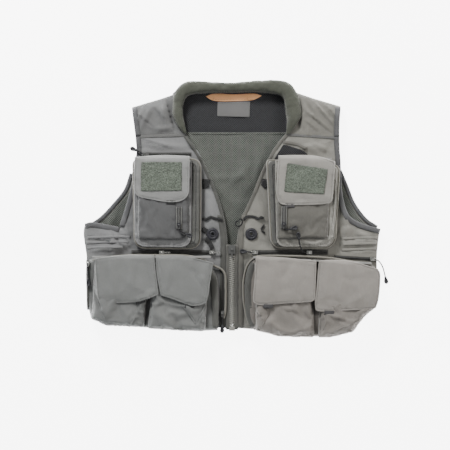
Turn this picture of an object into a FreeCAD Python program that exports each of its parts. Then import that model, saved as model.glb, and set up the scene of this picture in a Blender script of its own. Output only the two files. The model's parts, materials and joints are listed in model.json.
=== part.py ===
import FreeCAD, Part
import Sketcher
import math
import os
from types import SimpleNamespace

# Fishing vest lying on its back: +Z up from the table, +Y towards the collar, +X to the wearer's left.
# The origin is on the table, under the middle of the vest. Every length is in millimetres.

SIZES = [
    # the body of the vest
    ("vest_width", 584, "side fold to side fold at the armholes"),
    ("vest_length", 507, "collar top to the lowest pocket"),
    ("hem_rise", 17, "hem above the lowest pocket"),
    ("hem_taper", 12, "how far each side comes in from armhole to hem"),
    ("side_length", 197, "side fold, hem to armhole"),
    ("shoulder_reach", 206, "middle to shoulder tip"),
    ("shoulder_drop", 51, "shoulder tip below the collar top"),
    ("shoulder_slope", 22, "shoulder's inner end above its tip"),
    ("yoke_notch", 30, "top of the yoke's step beside the collar, above its seam"),
    ("yoke_foot_inset", 22, "yoke's foot clear of the collar's foot"),
    ("mesh_overlap", 12, "yoke mesh below the yoke seam"),
    ("mesh_inset", 4, "mesh inside the armhole's edge"),
    ("mesh_top_inset", 10, "yoke mesh below the collar's top"),
    ("back_top_inset", 4, "back cloth below the collar's top"),
    ("mesh_hem", 2, "mesh above the hem"),
    ("yoke_drop", 104, "yoke seam below the collar top"),
    ("armhole_reach", 200, "middle to the front armhole edge at the yoke seam"),
    ("armhole_bow", 200, "radius of the front armhole's lower curve"),
    ("back_armhole_bow", 320, "radius of the back armhole's lower curve"),
    ("neck_reach", 96, "middle to the neck edge at the yoke seam"),
    ("neck_bow", 520, "radius of the V edge"),
    ("fabric", 1.5, "woven cloth with its facing"),
    ("lining", 1, "mesh lining"),
    ("torso_gap", 11, "loft between back and front"),
    ("fold_width", 6, "folded cloth at sides and shoulders"),
    ("binding_width", 11, "tape round the armholes"),
    ("binding_rise", 1, "tape above the cloth"),
    ("binding_gap", 0.3, "shoulder tape clear of the armhole tape"),
    # collar
    ("collar_width", 27, "knit band seen from above"),
    ("collar_height", 20, "knit band's loft"),
    ("collar_reach", 117, "middle to the band's centre line"),
    ("collar_corner", 42, "bend of the band at the nape"),
    ("collar_gap", 1.5, "band to yoke"),
    ("foot_shift", 8, "band's foot outside the V edge"),
    ("foot_rise", 5, "band's foot above the yoke seam"),
    # hang loop and neck label
    ("loop_length", 112, "hang loop, end to end"),
    ("loop_width", 14, "hang loop"),
    ("loop_thick", 1.6, "hang loop"),
    ("loop_drop", 3, "hang loop below the collar band"),
    ("loop_gap", 0.4, "hang loop above the yoke mesh"),
    ("label_width", 62, "neck label"),
    ("label_height", 29, "neck label"),
    ("label_thick", 0.8, "neck label"),
    ("label_gap", 1.5, "label below the hang loop"),
    # centre zip
    ("zip_length", 152, "toothed length"),
    ("tape_width", 12, "one side of the zip"),
    ("tape_gap", 0.3, "tape clear of the other side's teeth"),
    ("tape_thick", 1.2, "woven zip tape"),
    ("tooth_pitch", 4, "tooth to tooth on one tape"),
    ("tooth_length", 1.7, "tooth along the zip"),
    ("tooth_reach", 4.6, "outer end of a tooth"),
    ("tooth_bite", 1.4, "how far a tooth crosses the middle"),
    ("tooth_thick", 3.4, "tooth"),
    ("tape_end", 2, "end of the tapes below the neck's point"),
    ("tape_play", 0.2, "zip tape clear of the front and of the box"),
    ("first_tooth", 9, "first tooth above the hem"),
    ("untoothed", 16, "tape without teeth, both ends together"),
    ("box_margin", 1.2, "box past the teeth, each side"),
    ("box_wall", 1.2, "box over and under the tapes"),
    ("box_drop", 2, "box below the hem"),
    ("box_length", 8, "box along the zip"),
    ("slider_play", 0.4, "slider clear of the teeth"),
    ("slider_drop", 3, "closed slider below the neck's point"),
    ("rim_depth", 1, "slider's side rims below its upper plate"),
    ("slider_wall", 1.6, "slider plates"),
    ("slider_length", 17, "slider along the zip"),
    # chest pockets
    ("chest_width", 138, "zipped pod"),
    ("chest_height", 180.5, "zipped pod"),
    ("chest_depth", 16, "zipped pod"),
    ("chest_corner", 20, "pod corner"),
    ("chest_drop", 152.5, "pod top below the collar top"),
    ("chest_left", 127, "middle to the left pod's middle"),
    ("chest_right", 139, "middle to the right pod's middle"),
    ("chest_tilt", 2, "how far the right pod is turned, in degrees"),
    ("pouch_width", 101, "stuff pocket on the pod"),
    ("pouch_height", 158, "stuff pocket on the pod"),
    ("pouch_depth", 7, "stuff pocket on the pod"),
    ("pouch_shift", 4, "stuff pocket off the pod's middle, outwards"),
    ("chest_flap_width", 110, "chest flap"),
    ("chest_flap_length", 88, "chest flap"),
    ("patch_width", 80, "loop patch on the flap"),
    ("patch_height", 57, "loop patch on the flap"),
    ("pod_gap", 0.5, "armhole tape clear of the pod that lies over it"),
    ("patch_thick", 2, "loop patch on the flap"),
    ("patch_drop", 12, "patch below the flap's top"),
    # cargo pockets
    ("cargo_width", 262, "zipped cargo bag"),
    ("cargo_height", 148, "zipped cargo bag"),
    ("cargo_depth", 14, "zipped cargo bag"),
    ("cargo_corner", 58, "inner top corner of the bag"),
    ("cargo_inset", 25, "middle to the bag's inner edge"),
    ("cargo_drop", 345, "bag top below the collar top"),
    ("cargo_tilt", 3, "how far the right bag is turned, in degrees"),
    ("cargo_gusset", 16, "bag edge to the inner pouch"),
    ("cargo_pouch_width", 112, "bellows pouch"),
    ("cargo_pouch_height", 138, "bellows pouch"),
    ("cargo_pouch_depth", 14, "bellows pouch"),
    ("cargo_pouch_space", 6, "between the two pouches"),
    ("cargo_flap_length", 90, "cargo flap"),
    ("flap_margin", 2, "flap past its pouch, each side"),
    # shared by all pockets
    ("pocket_wall", 2, "pocket cloth"),
    ("flap_thick", 1.6, "flap cloth"),
    ("flap_gap", 0.4, "flap above its pouch"),
    ("mouth_drop", 12, "pouch's open edge below the flap's seam allowance"),
    ("pouch_foot", 8, "lower corners of a stuff pocket"),
    ("bellows_foot", 10, "lower corners of a bellows pouch"),
    ("bag_corner", 14, "other corners of a cargo bag"),
    ("flap_corner", 12, "lower corners of a flap"),
    ("patch_corner", 3, "corners of a loop patch"),
    ("seat_width", 3, "seam allowance that a flap is sewn to"),
    ("tab_width", 20, "webbing tab under a flap's edge"),
    ("tab_length", 6, "webbing tab"),
    ("tab_thick", 1.2, "webbing tab"),
    # coil zips, their sliders and pulls
    ("coil_tape_width", 7, "coil zip's tape"),
    ("coil_tape_thick", 0.8, "coil zip's tape"),
    ("coil_width", 2.6, "coil"),
    ("zip_stop", 2, "coil zip past its slider at the end of its run"),
    ("coil_height", 1.1, "coil above its tape"),
    ("cap_width", 7, "coil slider"),
    ("cap_length", 10, "coil slider"),
    ("cap_height", 2.8, "coil slider"),
    ("cap_play", 0.3, "slider clear of coil and tape"),
    ("bar_radius", 0.8, "cross bar that the pull turns on"),
    ("bar_rise", 1.9, "cross bar above the slider"),
    ("lug_thick", 1, "lug at each end of the bar"),
    ("lug_length", 3.2, "lug at each end of the bar"),
    ("eye_play", 0.3, "pull's eye round the bar"),
    ("eye_wall", 0.7, "pull's eye"),
    ("eye_width", 3, "pull's eye"),
    ("link_length", 6.2, "metal link from bar to cord"),
    ("link_thick", 1, "metal link"),
    ("tab_pull_length", 17, "plain metal pull"),
    ("cord_thick", 2.6, "pull cord"),
    ("grip_length", 15, "moulded end of a pull cord"),
    ("grip_width", 9, "moulded end"),
    ("grip_thick", 4, "moulded end"),
    ("chest_zip_length", 44, "upright zip on a chest pouch"),
    ("left_zip_shift", 28, "upright zip off the left pouch's middle"),
    ("right_zip_shift", 38, "upright zip off the right pouch's middle"),
    ("left_tab_shift", 12, "left chest flap's tab off its middle"),
    ("right_tab_shift", 30, "right chest flap's tab off its middle"),
    ("inner_tab_shift", 24, "inner cargo flap's tab off its middle"),
    ("outer_tab_shift", 30, "outer cargo flap's tab off its middle"),
    ("left_under_shift", 12, "zip under the left chest pocket off the pod's middle"),
    ("right_under_shift", 25, "zip under the right chest pocket off the pod's middle"),
    ("left_under_open", 23, "slider off the middle of the zip under the left chest pocket"),
    ("right_under_open", 38, "slider off the middle of the zip under the right chest pocket"),
    ("side_zip_inset", 4, "zip over the right bag off the bag's outer edge"),
    ("edge_zip_drop", 6, "zip down the left bag's outer edge below the bag's top"),
    ("left_under_length", 165, "zip under the left chest pocket"),
    ("right_under_length", 150, "zip under the right chest pocket"),
    ("top_zip_length", 95, "zip over the left chest pocket"),
    ("side_zip_length", 80, "zip over the right cargo bag"),
    ("inner_zip_length", 92, "zip beside the left cargo bag"),
    ("edge_zip_length", 100, "zip down the left cargo bag's outer edge"),
    ("zip_margin", 3, "zip off the seam beside it"),
    # small hardware
    ("disc_radius", 12, "docking disc"),
    ("disc_thick", 3, "docking disc"),
    ("disc_bore", 3, "docking disc's hole, radius"),
    ("disc_reach", 38, "middle to a docking disc"),
    ("disc_rise", 36, "docking disc above the zip under the chest pockets"),
    ("keeper_length", 34, "elastic keeper"),
    ("keeper_width", 6, "elastic keeper"),
    ("keeper_rise", 32, "elastic keeper above the docking disc"),
    ("hook_tab", 13, "webbing square above the keeper"),
    ("hook_shift", 12, "webbing square off the docking disc, outwards"),
    ("keeper_shift", 1, "elastic keeper off the docking disc, outwards"),
    ("hook_rise", 99, "webbing square above the docking disc"),
    ("webbing", 1.6, "webbing and elastic"),
]


class Size:
    """A length of the vest: a formula over the sheet's cells, with its value now."""

    def __init__(self, text, value):
        self.text = text
        self.value = float(value)

    def _with(self, sign, other, other_first=False):
        other = size_of(other)
        a, b = (other, self) if other_first else (self, other)
        result = {"+": a.value + b.value, "-": a.value - b.value, "*": a.value * b.value}
        value = a.value / b.value if sign == "/" else result[sign]
        return Size(f"({a.text} {sign} {b.text})", value)

    def __add__(self, other):
        return self._with("+", other)

    def __radd__(self, other):
        return self._with("+", other, True)

    def __sub__(self, other):
        return self._with("-", other)

    def __rsub__(self, other):
        return self._with("-", other, True)

    def __mul__(self, other):
        return self._with("*", other)

    def __rmul__(self, other):
        return self._with("*", other, True)

    def __truediv__(self, other):
        return self._with("/", other)

    def __neg__(self):
        return self._with("*", -1.0)


def size_of(value):
    return value if isinstance(value, Size) else Size(repr(float(value)), value)


def fill_sheet(document):
    """Writes SIZES into a sheet, and returns them by name."""
    sheet = document.addObject("Spreadsheet::Sheet", "Sizes")
    found = {}
    for row, (alias, value, note) in enumerate(SIZES, start=1):
        sheet.set(f"A{row}", str(value))
        sheet.set(f"B{row}", note)
        sheet.setAlias(f"A{row}", alias)
        found[alias] = Size(f"Sizes.{alias}", value)
    document.recompute()
    return SimpleNamespace(**found)


doc = FreeCAD.newDocument("FishingVest")
S = fill_sheet(doc)
V = FreeCAD.Vector
nodes = {}


class Spot:
    """A place on the vest: x, y and z, and a turn about Z in degrees."""

    def __init__(self, x=0.0, y=0.0, z=0.0, turn=0.0):
        self.x, self.y, self.z, self.turn = map(size_of, (x, y, z, turn))

    def shifted(self, x=0.0, y=0.0, z=0.0, turn=0.0):
        """The spot at (x, y, z) in this spot's own turned axes."""
        x, y, z, turn = map(size_of, (x, y, z, turn))
        cos = Size(f"cos({self.turn.text} * 1 deg)", math.cos(math.radians(self.turn.value)))
        sin = Size(f"sin({self.turn.text} * 1 deg)", math.sin(math.radians(self.turn.value)))
        along = self.x + x * cos - y * sin
        across = self.y + x * sin + y * cos
        return Spot(along, across, self.z + z, self.turn + turn)

    def placement(self):
        turn = FreeCAD.Rotation(V(0, 0, 1), self.turn.value)
        return FreeCAD.Placement(V(self.x.value, self.y.value, self.z.value), turn)

    def hold(self, obj):
        """Binds an object's Placement to this spot."""
        obj.Placement = self.placement()
        for axis in "xyz":
            obj.setExpression(f"Placement.Base.{axis}", getattr(self, axis).text)
        obj.setExpression("Placement.Rotation.Angle", f"{self.turn.text} * 1 deg")


def named(obj, name):
    obj.Label = name
    nodes[name] = obj
    return obj


def new_body(name, spot=None):
    body = doc.addObject("PartDesign::Body", name)
    if spot:
        spot.hold(body)
    return body


def outline(body, points, z=0.0):
    """A closed sketch through points, anticlockwise, at height z. A point (x, y, r) starts an arc of
    radius r to the next point: it bows out of the outline if r is positive, and into it if negative."""
    sketch = body.newObject("Sketcher::SketchObject", "outline")
    plane = [f for f in body.Origin.OriginFeatures if f.Role == "XY_Plane"][0]
    sketch.AttachmentSupport = (plane, [""])
    sketch.MapMode = "FlatFace"
    sketch.setExpression("AttachmentOffset.Base.z", size_of(z).text)
    corners = [V(size_of(p[0]).value, size_of(p[1]).value, 0) for p in points]
    ends = []
    for i, point in enumerate(points):
        a, b = corners[i], corners[(i + 1) % len(points)]
        if len(point) == 2:
            sketch.addGeometry(Part.LineSegment(a, b))
            ends.append((1, 2))
            continue
        radius = size_of(point[2])
        out = radius.value > 0
        chord = b - a
        rise = math.sqrt(radius.value**2 - chord.Length**2 / 4)
        left = V(-chord.y, chord.x, 0).normalize()
        centre = (a + b) * 0.5 + left * (rise if out else -rise)
        first, last = (a, b) if out else (b, a)
        start = math.atan2(first.y - centre.y, first.x - centre.x)
        stop = math.atan2(last.y - centre.y, last.x - centre.x)
        stop += 2 * math.pi if stop < start else 0
        circle = Part.Circle(centre, V(0, 0, 1), abs(radius.value))
        sketch.addGeometry(Part.ArcOfCircle(circle, start, stop))
        ends.append((1, 2) if out else (2, 1))
        k = sketch.addConstraint(Sketcher.Constraint("Radius", i, abs(radius.value)))
        sketch.setExpression(f"Constraints[{k}]", radius.text if out else (-radius).text)
    for i in range(len(points)):
        j = (i + 1) % len(points)
        sketch.addConstraint(Sketcher.Constraint("Coincident", i, ends[i][1], j, ends[j][0]))
    for i, point in enumerate(points):
        for kind, q in (("DistanceX", size_of(point[0])), ("DistanceY", size_of(point[1]))):
            k = sketch.addConstraint(Sketcher.Constraint(kind, -1, 1, i, ends[i][0], q.value))
            sketch.setExpression(f"Constraints[{k}]", q.text)
    return sketch


def pad(body, points, thick, z=0.0):
    """Adds a plate to a body: the outline, from z up by thick."""
    feature = body.newObject("PartDesign::Pad", "pad")
    feature.Profile = outline(body, points, z)
    feature.setExpression("Length", size_of(thick).text)
    doc.recompute()
    return feature


def hollow(body, points, depth, z=0.0):
    """Cuts the outline out of a body, from z up by depth."""
    before = body.Shape.Volume
    feature = body.newObject("PartDesign::Pocket", "hollow")
    feature.Profile = outline(body, points, z)
    feature.setExpression("Length", size_of(depth).text)
    feature.Reversed = True
    doc.recompute()
    if body.Shape.Volume > before - 1:
        raise ValueError(f"{body.Label}: the pocket cut nothing")
    return feature


def uprights(shape, wanted):
    """Names of the upright edges whose corner (x, y) is wanted."""
    found = []
    for i, edge in enumerate(shape.Edges, start=1):
        a, b = edge.Vertexes[0].Point, edge.Vertexes[-1].Point
        if abs(a.x - b.x) + abs(a.y - b.y) < 0.01 and abs(a.z - b.z) > 0.1 and wanted(a.x, a.y):
            found.append(f"Edge{i}")
    return found


def round_corners(body, radius, wanted=lambda x, y: True):
    """Rounds the upright edges of a body's last feature."""
    tip = body.Tip
    feature = body.newObject("PartDesign::Fillet", "corners")
    feature.Base = (tip, uprights(tip.Shape, wanted))
    feature.setExpression("Radius", size_of(radius).text)
    doc.recompute()
    return feature


def rectangle(x0, y0, x1, y1):
    return [(x0, y0), (x1, y0), (x1, y1), (x0, y1)]


def plate(name, points, thick, spot, corner=None, wanted=lambda x, y: True):
    body = new_body(name, spot)
    pad(body, points, thick)
    if corner is not None:
        round_corners(body, corner, wanted)
    return named(body, name)


def block(x, y, z, length, width, height):
    """A Part::Box from its lowest corner."""
    box = doc.addObject("Part::Box", "block")
    for prop, value in (("Length", length), ("Width", width), ("Height", height)):
        box.setExpression(prop, size_of(value).text)
    for axis, value in zip("xyz", (x, y, z)):
        box.setExpression(f"Placement.Base.{axis}", size_of(value).text)
    return box


def rod(radius, length, x, y, z, direction="z"):
    """A Part::Cylinder that starts at (x, y, z) and runs along +X or +Z."""
    cylinder = doc.addObject("Part::Cylinder", "rod")
    cylinder.setExpression("Radius", size_of(radius).text)
    cylinder.setExpression("Height", size_of(length).text)
    if direction == "x":
        cylinder.Placement = FreeCAD.Placement(V(), FreeCAD.Rotation(V(0, 1, 0), 90))
    for axis, value in zip("xyz", (x, y, z)):
        cylinder.setExpression(f"Placement.Base.{axis}", size_of(value).text)
    return cylinder


def fused(shapes):
    union = doc.addObject("Part::MultiFuse", "fused")
    union.Shapes = shapes
    union.Refine = True
    return union


def cut(base, tool):
    rest = doc.addObject("Part::Cut", "cut")
    rest.Base = base
    rest.Tool = tool
    return rest


def gathered(name, parts):
    """One node that holds several separate solids."""
    group = doc.addObject("Part::Compound", name)
    group.Links = parts
    return named(group, name)


# Heights of the layers, from the table up.
lining_z = S.fabric
cavity_z = S.fabric + S.lining
front_z = cavity_z + S.torso_gap
surface_z = front_z + S.fabric
pod_z = surface_z + S.chest_depth
pouch_z = pod_z + S.pouch_depth
bag_z = surface_z + S.cargo_depth
bellows_z = bag_z + S.cargo_pouch_depth

# Lines across the vest, from the collar top down to the hem.
top_y = S.vest_length / 2
hem_y = S.hem_rise - S.vest_length / 2
armhole_y = hem_y + S.side_length
shoulder_y = top_y - S.shoulder_drop
yoke_y = top_y - S.yoke_drop
nape_y = top_y - S.collar_width / 2
neck_y = hem_y + S.zip_length + S.slider_length
half = S.vest_width / 2
hem_half = half - S.hem_taper
collar_out = S.collar_reach + S.collar_width / 2 + S.collar_gap
shoulder_top = shoulder_y + S.shoulder_slope
under_zip_y = top_y - S.cargo_drop + S.zip_margin + S.coil_tape_width / 2


def mirrored(points, side):
    """Points drawn for the +X side, on the side asked for, still anticlockwise."""
    if side > 0:
        return points
    flipped = []
    for i in range(len(points) - 1, -1, -1):
        before = points[i - 1]
        x, y = points[i][0], points[i][1]
        flipped.append((-size_of(x), y) + tuple(before[2:]))
    return flipped


def make_back():
    """Outer back cloth, with the olive mesh and the black yoke mesh that line it."""
    right = [(hem_half, hem_y), (half, armhole_y, -S.back_armhole_bow), (S.shoulder_reach, yoke_y)]
    right += [(S.shoulder_reach, shoulder_y), (collar_out, shoulder_top)]
    right += [(S.collar_reach, top_y - S.back_top_inset)]
    plate("back_panel", right + mirrored(right, -1), S.fabric, Spot())
    inner = half - S.fold_width
    yoke_foot = yoke_y - S.mesh_overlap
    low_half = hem_half - S.fold_width
    lower = [(low_half, hem_y + S.mesh_hem), (inner, armhole_y, -S.back_armhole_bow)]
    lower += [(S.armhole_reach - S.mesh_inset, yoke_foot)]
    plate("back_mesh_lining", lower + mirrored(lower, -1), S.lining, Spot(z=lining_z))
    reach = S.armhole_reach - S.mesh_inset
    yoke = [(reach, yoke_foot), (reach, shoulder_y - S.fold_width)]
    yoke += [(collar_out, shoulder_top - S.fold_width), (S.collar_reach, top_y - S.mesh_top_inset)]
    plate("back_yoke_mesh", yoke + mirrored(yoke, -1), S.lining, Spot(z=lining_z))


def make_front(side, name):
    """One front: straight beside the zip, bowed along the V neck, curved under the arm."""
    points = [(S.tape_width, hem_y), (hem_half, hem_y), (half, armhole_y, -S.armhole_bow)]
    points += [(S.armhole_reach, yoke_y), (S.neck_reach, yoke_y, S.neck_bow), (S.tape_width, neck_y)]
    plate(name, mirrored(points, side), S.fabric, Spot(z=front_z))


def make_yoke(side, name):
    """Shoulder yoke: the front half of the shoulder, folded down to the back along its top."""
    outer, inner = S.shoulder_reach, collar_out
    points = [(S.neck_reach + S.yoke_foot_inset, yoke_y), (S.armhole_reach, yoke_y), (outer, shoulder_y)]
    points += [(inner, shoulder_top), (inner, yoke_y + S.yoke_notch)]
    body = new_body(name, Spot(z=front_z))
    pad(body, mirrored(points, side), S.fabric)
    fold = [(inner, shoulder_top - S.fold_width), (outer, shoulder_y - S.fold_width)]
    fold += [(outer, shoulder_y), (inner, shoulder_top)]
    pad(body, mirrored(fold, side), S.torso_gap + S.lining, lining_z - front_z)
    named(body, name)


def make_side_folds():
    """Cloth that turns from the front to the back at each side."""
    parts = []
    for side in (-1, 1):
        body = new_body("side_fold", Spot(z=lining_z))
        points = [(hem_half - S.fold_width, hem_y), (hem_half, hem_y)]
        points += [(half, armhole_y), (half - S.fold_width, armhole_y)]
        pad(body, mirrored(points, side), front_z - lining_z)
        parts.append(body)
    gathered("side_folds", parts)


def make_bindings():
    """Tape over the raw edges: round each front armhole and up each shoulder."""
    parts = []
    width = S.binding_width
    for side, pod in ((-1, left_pod), (1, right_pod)):
        arm = new_body("armhole_binding", Spot(z=surface_z))
        points = [(half, armhole_y - width), (half, armhole_y, -S.armhole_bow)]
        points += [(S.armhole_reach, yoke_y), (S.armhole_reach - width, yoke_y, S.armhole_bow + width)]
        points += [(half - width, armhole_y - width)]
        pad(arm, mirrored(points, side), S.binding_rise)
        tip = new_body("shoulder_binding", Spot(z=surface_z))
        foot = yoke_y + S.binding_gap
        points = [(S.armhole_reach - width, foot), (S.armhole_reach, foot)]
        points += [(S.shoulder_reach, shoulder_y), (S.shoulder_reach - width, shoulder_y)]
        pad(tip, mirrored(points, side), S.binding_rise)
        parts += [cut(arm, pod_room(pod)), tip]
    gathered("armhole_bindings", parts)


def pod_room(spot):
    """The room that a chest pod takes on the front, with its clearance."""
    gap = S.pod_gap
    reach = S.chest_width / 2 + gap
    return plate_body(spot, rectangle(-reach, -S.chest_height - gap, reach, gap), S.chest_depth)


def rounded_path(points, radii=None):
    """Straight runs joined by tangent arcs. Each arc is as large as its two runs allow."""
    edges = []
    start = points[0]
    for i in range(1, len(points) - 1):
        before, here, after = points[i - 1], points[i], points[i + 1]
        back, on = (before - here), (after - here)
        shorter = min(back.Length, on.Length)
        turn = math.pi - back.getAngle(on)
        radius = 0.45 * shorter / math.tan(turn / 2)
        if radii:
            radius = radii[i - 1]
        reach = radius * math.tan(turn / 2)
        back.normalize()
        on.normalize()
        into, out = here + back * reach, here + on * reach
        middle = (back + on).normalize()
        crown = here + middle * (radius / math.cos(turn / 2) - radius)
        edges.append(Part.LineSegment(start, into).toShape())
        edges.append(Part.Arc(into, crown, out).toShape())
        start = out
    edges.append(Part.LineSegment(start, points[-1]).toShape())
    return Part.Wire(edges)


def swept(section, path):
    """The section, a closed wire at the path's start, carried along the path as one solid."""
    shape = path.makePipeShell([section], True, True)
    return shape.Solids[0] if shape.Solids else Part.Solid(shape)


def make_collar():
    """Padded knit band: up one side of the neck, across the nape and down the other side."""
    reach, width, height = S.collar_reach.value, S.collar_width.value, S.collar_height.value
    foot = V((S.neck_reach + S.foot_shift).value, (yoke_y + S.foot_rise).value, 0)
    nape = V(reach, nape_y.value, 0)
    lift = V(0, 0, cavity_z.value + height / 2)
    points = [V(-foot.x, foot.y, 0), V(-nape.x, nape.y, 0), nape, foot]
    path = rounded_path([p + lift for p in points], [S.collar_corner.value] * 2)
    along = (points[1] - points[0]).normalize()
    across = V(0, 0, 1).cross(along)
    start = points[0] + lift
    oval = Part.Ellipse(start + across * (width / 2), start + V(0, 0, height / 2), start)
    section = Part.Wire(oval.toShape())
    collar = doc.addObject("Part::Feature", "collar")
    collar.Shape = swept(section, path)
    named(collar, "collar")


def make_label_and_loop():
    """Woven label on the yoke mesh, and the hang loop above it."""
    label_top = loop_spot.y - S.loop_width - S.label_gap
    half_label = S.label_width / 2
    label = rectangle(-half_label, label_top - S.label_height, half_label, label_top)
    plate("neck_label", label, S.label_thick, Spot(z=cavity_z))
    half_loop = S.loop_length / 2
    tip = S.loop_width * 0.7
    loop = [(-half_loop, 0), (tip - half_loop, -S.loop_width), (half_loop - tip, -S.loop_width)]
    loop += [(half_loop, 0)]
    plate("hang_loop", loop, S.loop_thick, loop_spot)


loop_spot = Spot(0, top_y - S.collar_width - S.loop_drop, cavity_z + S.loop_gap)


def make_centre_zip():
    """Two toothed tapes that mesh, the box that they end in, and the slider at the top."""
    tooth_low = -(S.tooth_thick - S.tape_thick) / 2
    for side, name in ((-1, "centre_zip_left"), (1, "centre_zip_right")):
        body = new_body(name, Spot(z=tape_z))
        strip = rectangle(S.tooth_bite + S.tape_gap, hem_y, S.tape_width, neck_y - S.tape_end)
        pad(body, mirrored(strip, side), S.tape_thick)
        first = hem_y + S.first_tooth + (S.tooth_pitch / 2 if side > 0 else 0)
        tooth = rectangle(-S.tooth_bite, first, S.tooth_reach, first + S.tooth_length)
        feature = pad(body, mirrored(tooth, side), S.tooth_thick, tooth_low)
        rows = body.newObject("PartDesign::LinearPattern", "teeth")
        rows.Originals = [feature]
        rows.Direction = ([f for f in body.Origin.OriginFeatures if f.Role == "Y_Axis"][0], [""])
        toothed = S.zip_length - S.untoothed
        rows.setExpression("Length", toothed.text)
        rows.Occurrences = int(toothed.value // S.tooth_pitch.value) + 1
        body.Tip = rows
        doc.recompute()
        named(body, name)
    box_half = S.tooth_reach + S.box_margin
    wall = S.box_wall + S.tape_play
    box = block(-box_half, hem_y - S.box_drop, tape_z - wall, box_half * 2, S.box_length,
                S.tape_thick + wall * 2)
    slot = block(-S.tape_width, hem_y - S.box_length, tape_z - S.tape_play, S.tape_width * 2,
                 S.box_length * 3, S.tape_thick + S.tape_play * 2)
    named(cut(box, slot), "centre_zip_box")


def make_centre_slider(middle_z):
    """Upper and lower plates that run over and under the teeth, with a cross bar for the pull."""
    clear = S.tooth_thick / 2 + S.slider_play
    wide = S.tooth_reach + S.slider_play + S.slider_wall
    top = middle_z + clear
    start = centre_slider_spot.y - S.slider_length / 2
    upper = block(-wide, start, top, wide * 2, S.slider_length, S.slider_wall)
    lower = block(-wide, start, middle_z - clear - S.slider_wall, wide * 2, S.slider_length, S.slider_wall)
    rims = []
    for x in (-wide, wide - S.slider_wall):
        depth = S.rim_depth + S.slider_wall
        rims.append(block(x, start, top - S.rim_depth, S.slider_wall, S.slider_length, depth))
    bridge = bridge_parts(centre_slider_spot.y, top + S.slider_wall)
    gathered("centre_zip_slider", [fused([upper] + rims + bridge), lower])
    eye = pull_link(S.tab_pull_length)
    put(eye, "centre_zip_pull", centre_pull_spot)


def bridge_parts(y, z):
    """Two lugs and the cross bar between them, above a slider's top face at z."""
    gap = S.eye_width / 2 + S.eye_play
    lugs = []
    for x in (-(gap + S.lug_thick), gap):
        height = S.bar_rise + S.bar_radius
        lugs.append(block(x, y - S.lug_length / 2, z, S.lug_thick, S.lug_length, height))
    bar_half = gap + S.lug_thick / 2
    bar = rod(S.bar_radius, bar_half * 2, -bar_half, y, z + S.bar_rise, "x")
    return lugs + [bar]


def pull_link(length):
    """A metal link: an eye round the cross bar at the origin, and a flat shank towards -Y."""
    outer = S.bar_radius + S.eye_play + S.eye_wall
    shell = rod(outer, S.eye_width, -S.eye_width / 2, 0, 0, "x")
    hole = rod(S.bar_radius + S.eye_play, S.eye_width + 2, -S.eye_width / 2 - 1, 0, 0, "x")
    shank_start = S.bar_radius + S.eye_play + S.eye_wall / 2
    low = -outer
    shank = block(-S.eye_width / 2, -length, low, S.eye_width, length - shank_start, S.link_thick)
    return cut(fused([shell, shank]), hole)


def put(obj, name, spot):
    """Names a part that is drawn about the origin, and binds it to its spot."""
    doc.recompute()
    spot.hold(obj)
    return named(obj, name)


def slider(name, spot):
    """Coil zip slider: a cap that straddles the coil, with lugs and a cross bar. Its zip runs along
    the spot's Y, and the spot is on the tape's top face."""
    low = S.cap_play
    cap = block(-S.cap_width / 2, -S.cap_length / 2, low, S.cap_width, S.cap_length, S.cap_height)
    groove_width = S.coil_width + S.cap_play * 2
    depth = S.coil_height + S.cap_play
    groove = block(-groove_width / 2, -S.cap_length, 0, groove_width, S.cap_length * 2, depth)
    body = fused([cut(cap, groove)] + bridge_parts(0.0, low + S.cap_height))
    put(body, name, spot)
    return spot.shifted(z=low + S.cap_height + S.bar_rise)


# The run of each pull's cord, as points from its cross bar's centre, in the vest's own axes.
STRANDS = {
    "left_chest_pull": [(0, -6.2, -1.1), (2.4, -10.4, -2), (7.4, -13.4, -2.6), (13, -16, -2.6)],
    "right_chest_pull": [(0, -6.2, -1.1), (3.6, -9, -2), (8.6, -9, -2.6), (13, -8, -2.6)],
    "right_centre_pull": [(-6.2, 0, -1.1), (-9.6, 0.4, -1.4), (-13.4, 1, -1.7), (-17, 1.4, -1.7)],
    "left_top_pull": [(-6.2, 0, -1.1), (-10, 2, -1.9), (-14.4, 5, -2.1), (-19, 7, -2.0)],
    "left_inner_pull": [(0, -6.2, -1.1), (0.4, -11, -1.4), (0, -17, -1.7), (-0.4, -24, -1.7)],
    "left_edge_pull": [(0, -6.2, -1.1), (0, -13, -1.2), (0.6, -22, -1.4), (1, -31, -1.4)],
}
CORDS = {
    "right_under": [(-6.2, 0, -1.1), (-10, 0.3, 2.5), (-13, 0.8, 9), (-16, 4, 14.6), (-19, 10, 16.2),
                    (-21, 18, 17.8), (-22.5, 26.5, 20.2)],
    "right_side": [(6.2, -0.4, -1.1), (11.4, -3, -3.2), (17, -9.5, -8), (21.5, -17, -13.6),
                   (24.5, -26, -17.0), (26.5, -35.5, -17.2)],
}


def tube(route):
    """A round cord along its route, with its path."""
    path = rounded_path(route)
    along = (route[1] - route[0]).normalize()
    ring = Part.Circle(route[0], along, S.cord_thick.value / 2)
    return swept(Part.Wire(ring.toShape()), path), path


def grip_shape(route):
    """Moulded end that the cord runs into: a flat teardrop in line with the cord's last run."""
    along = (route[-1] - route[-2]).normalize()
    length, width, thick = S.grip_length.value, S.grip_width.value, S.grip_thick.value
    across = V(0, 0, 1).cross(along).normalize()
    upward = along.cross(across)
    neck = S.cord_thick.value / 2
    widest = 0.62
    start, stop = route[-1], route[-1] + along * length
    shoulder = start + along * (length * widest)
    left, right = shoulder + across * (width / 2), shoulder - across * (width / 2)
    near_left, near_right = start + across * neck, start - across * neck
    edges = [Part.LineSegment(near_right, near_left).toShape(), Part.LineSegment(near_left, left).toShape()]
    edges += [Part.Arc(left, stop, right).toShape(), Part.LineSegment(right, near_right).toShape()]
    face = Part.Face(Part.Wire(edges))
    face.translate(upward * (-thick / 2))
    return face.extrude(upward * thick)


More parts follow.
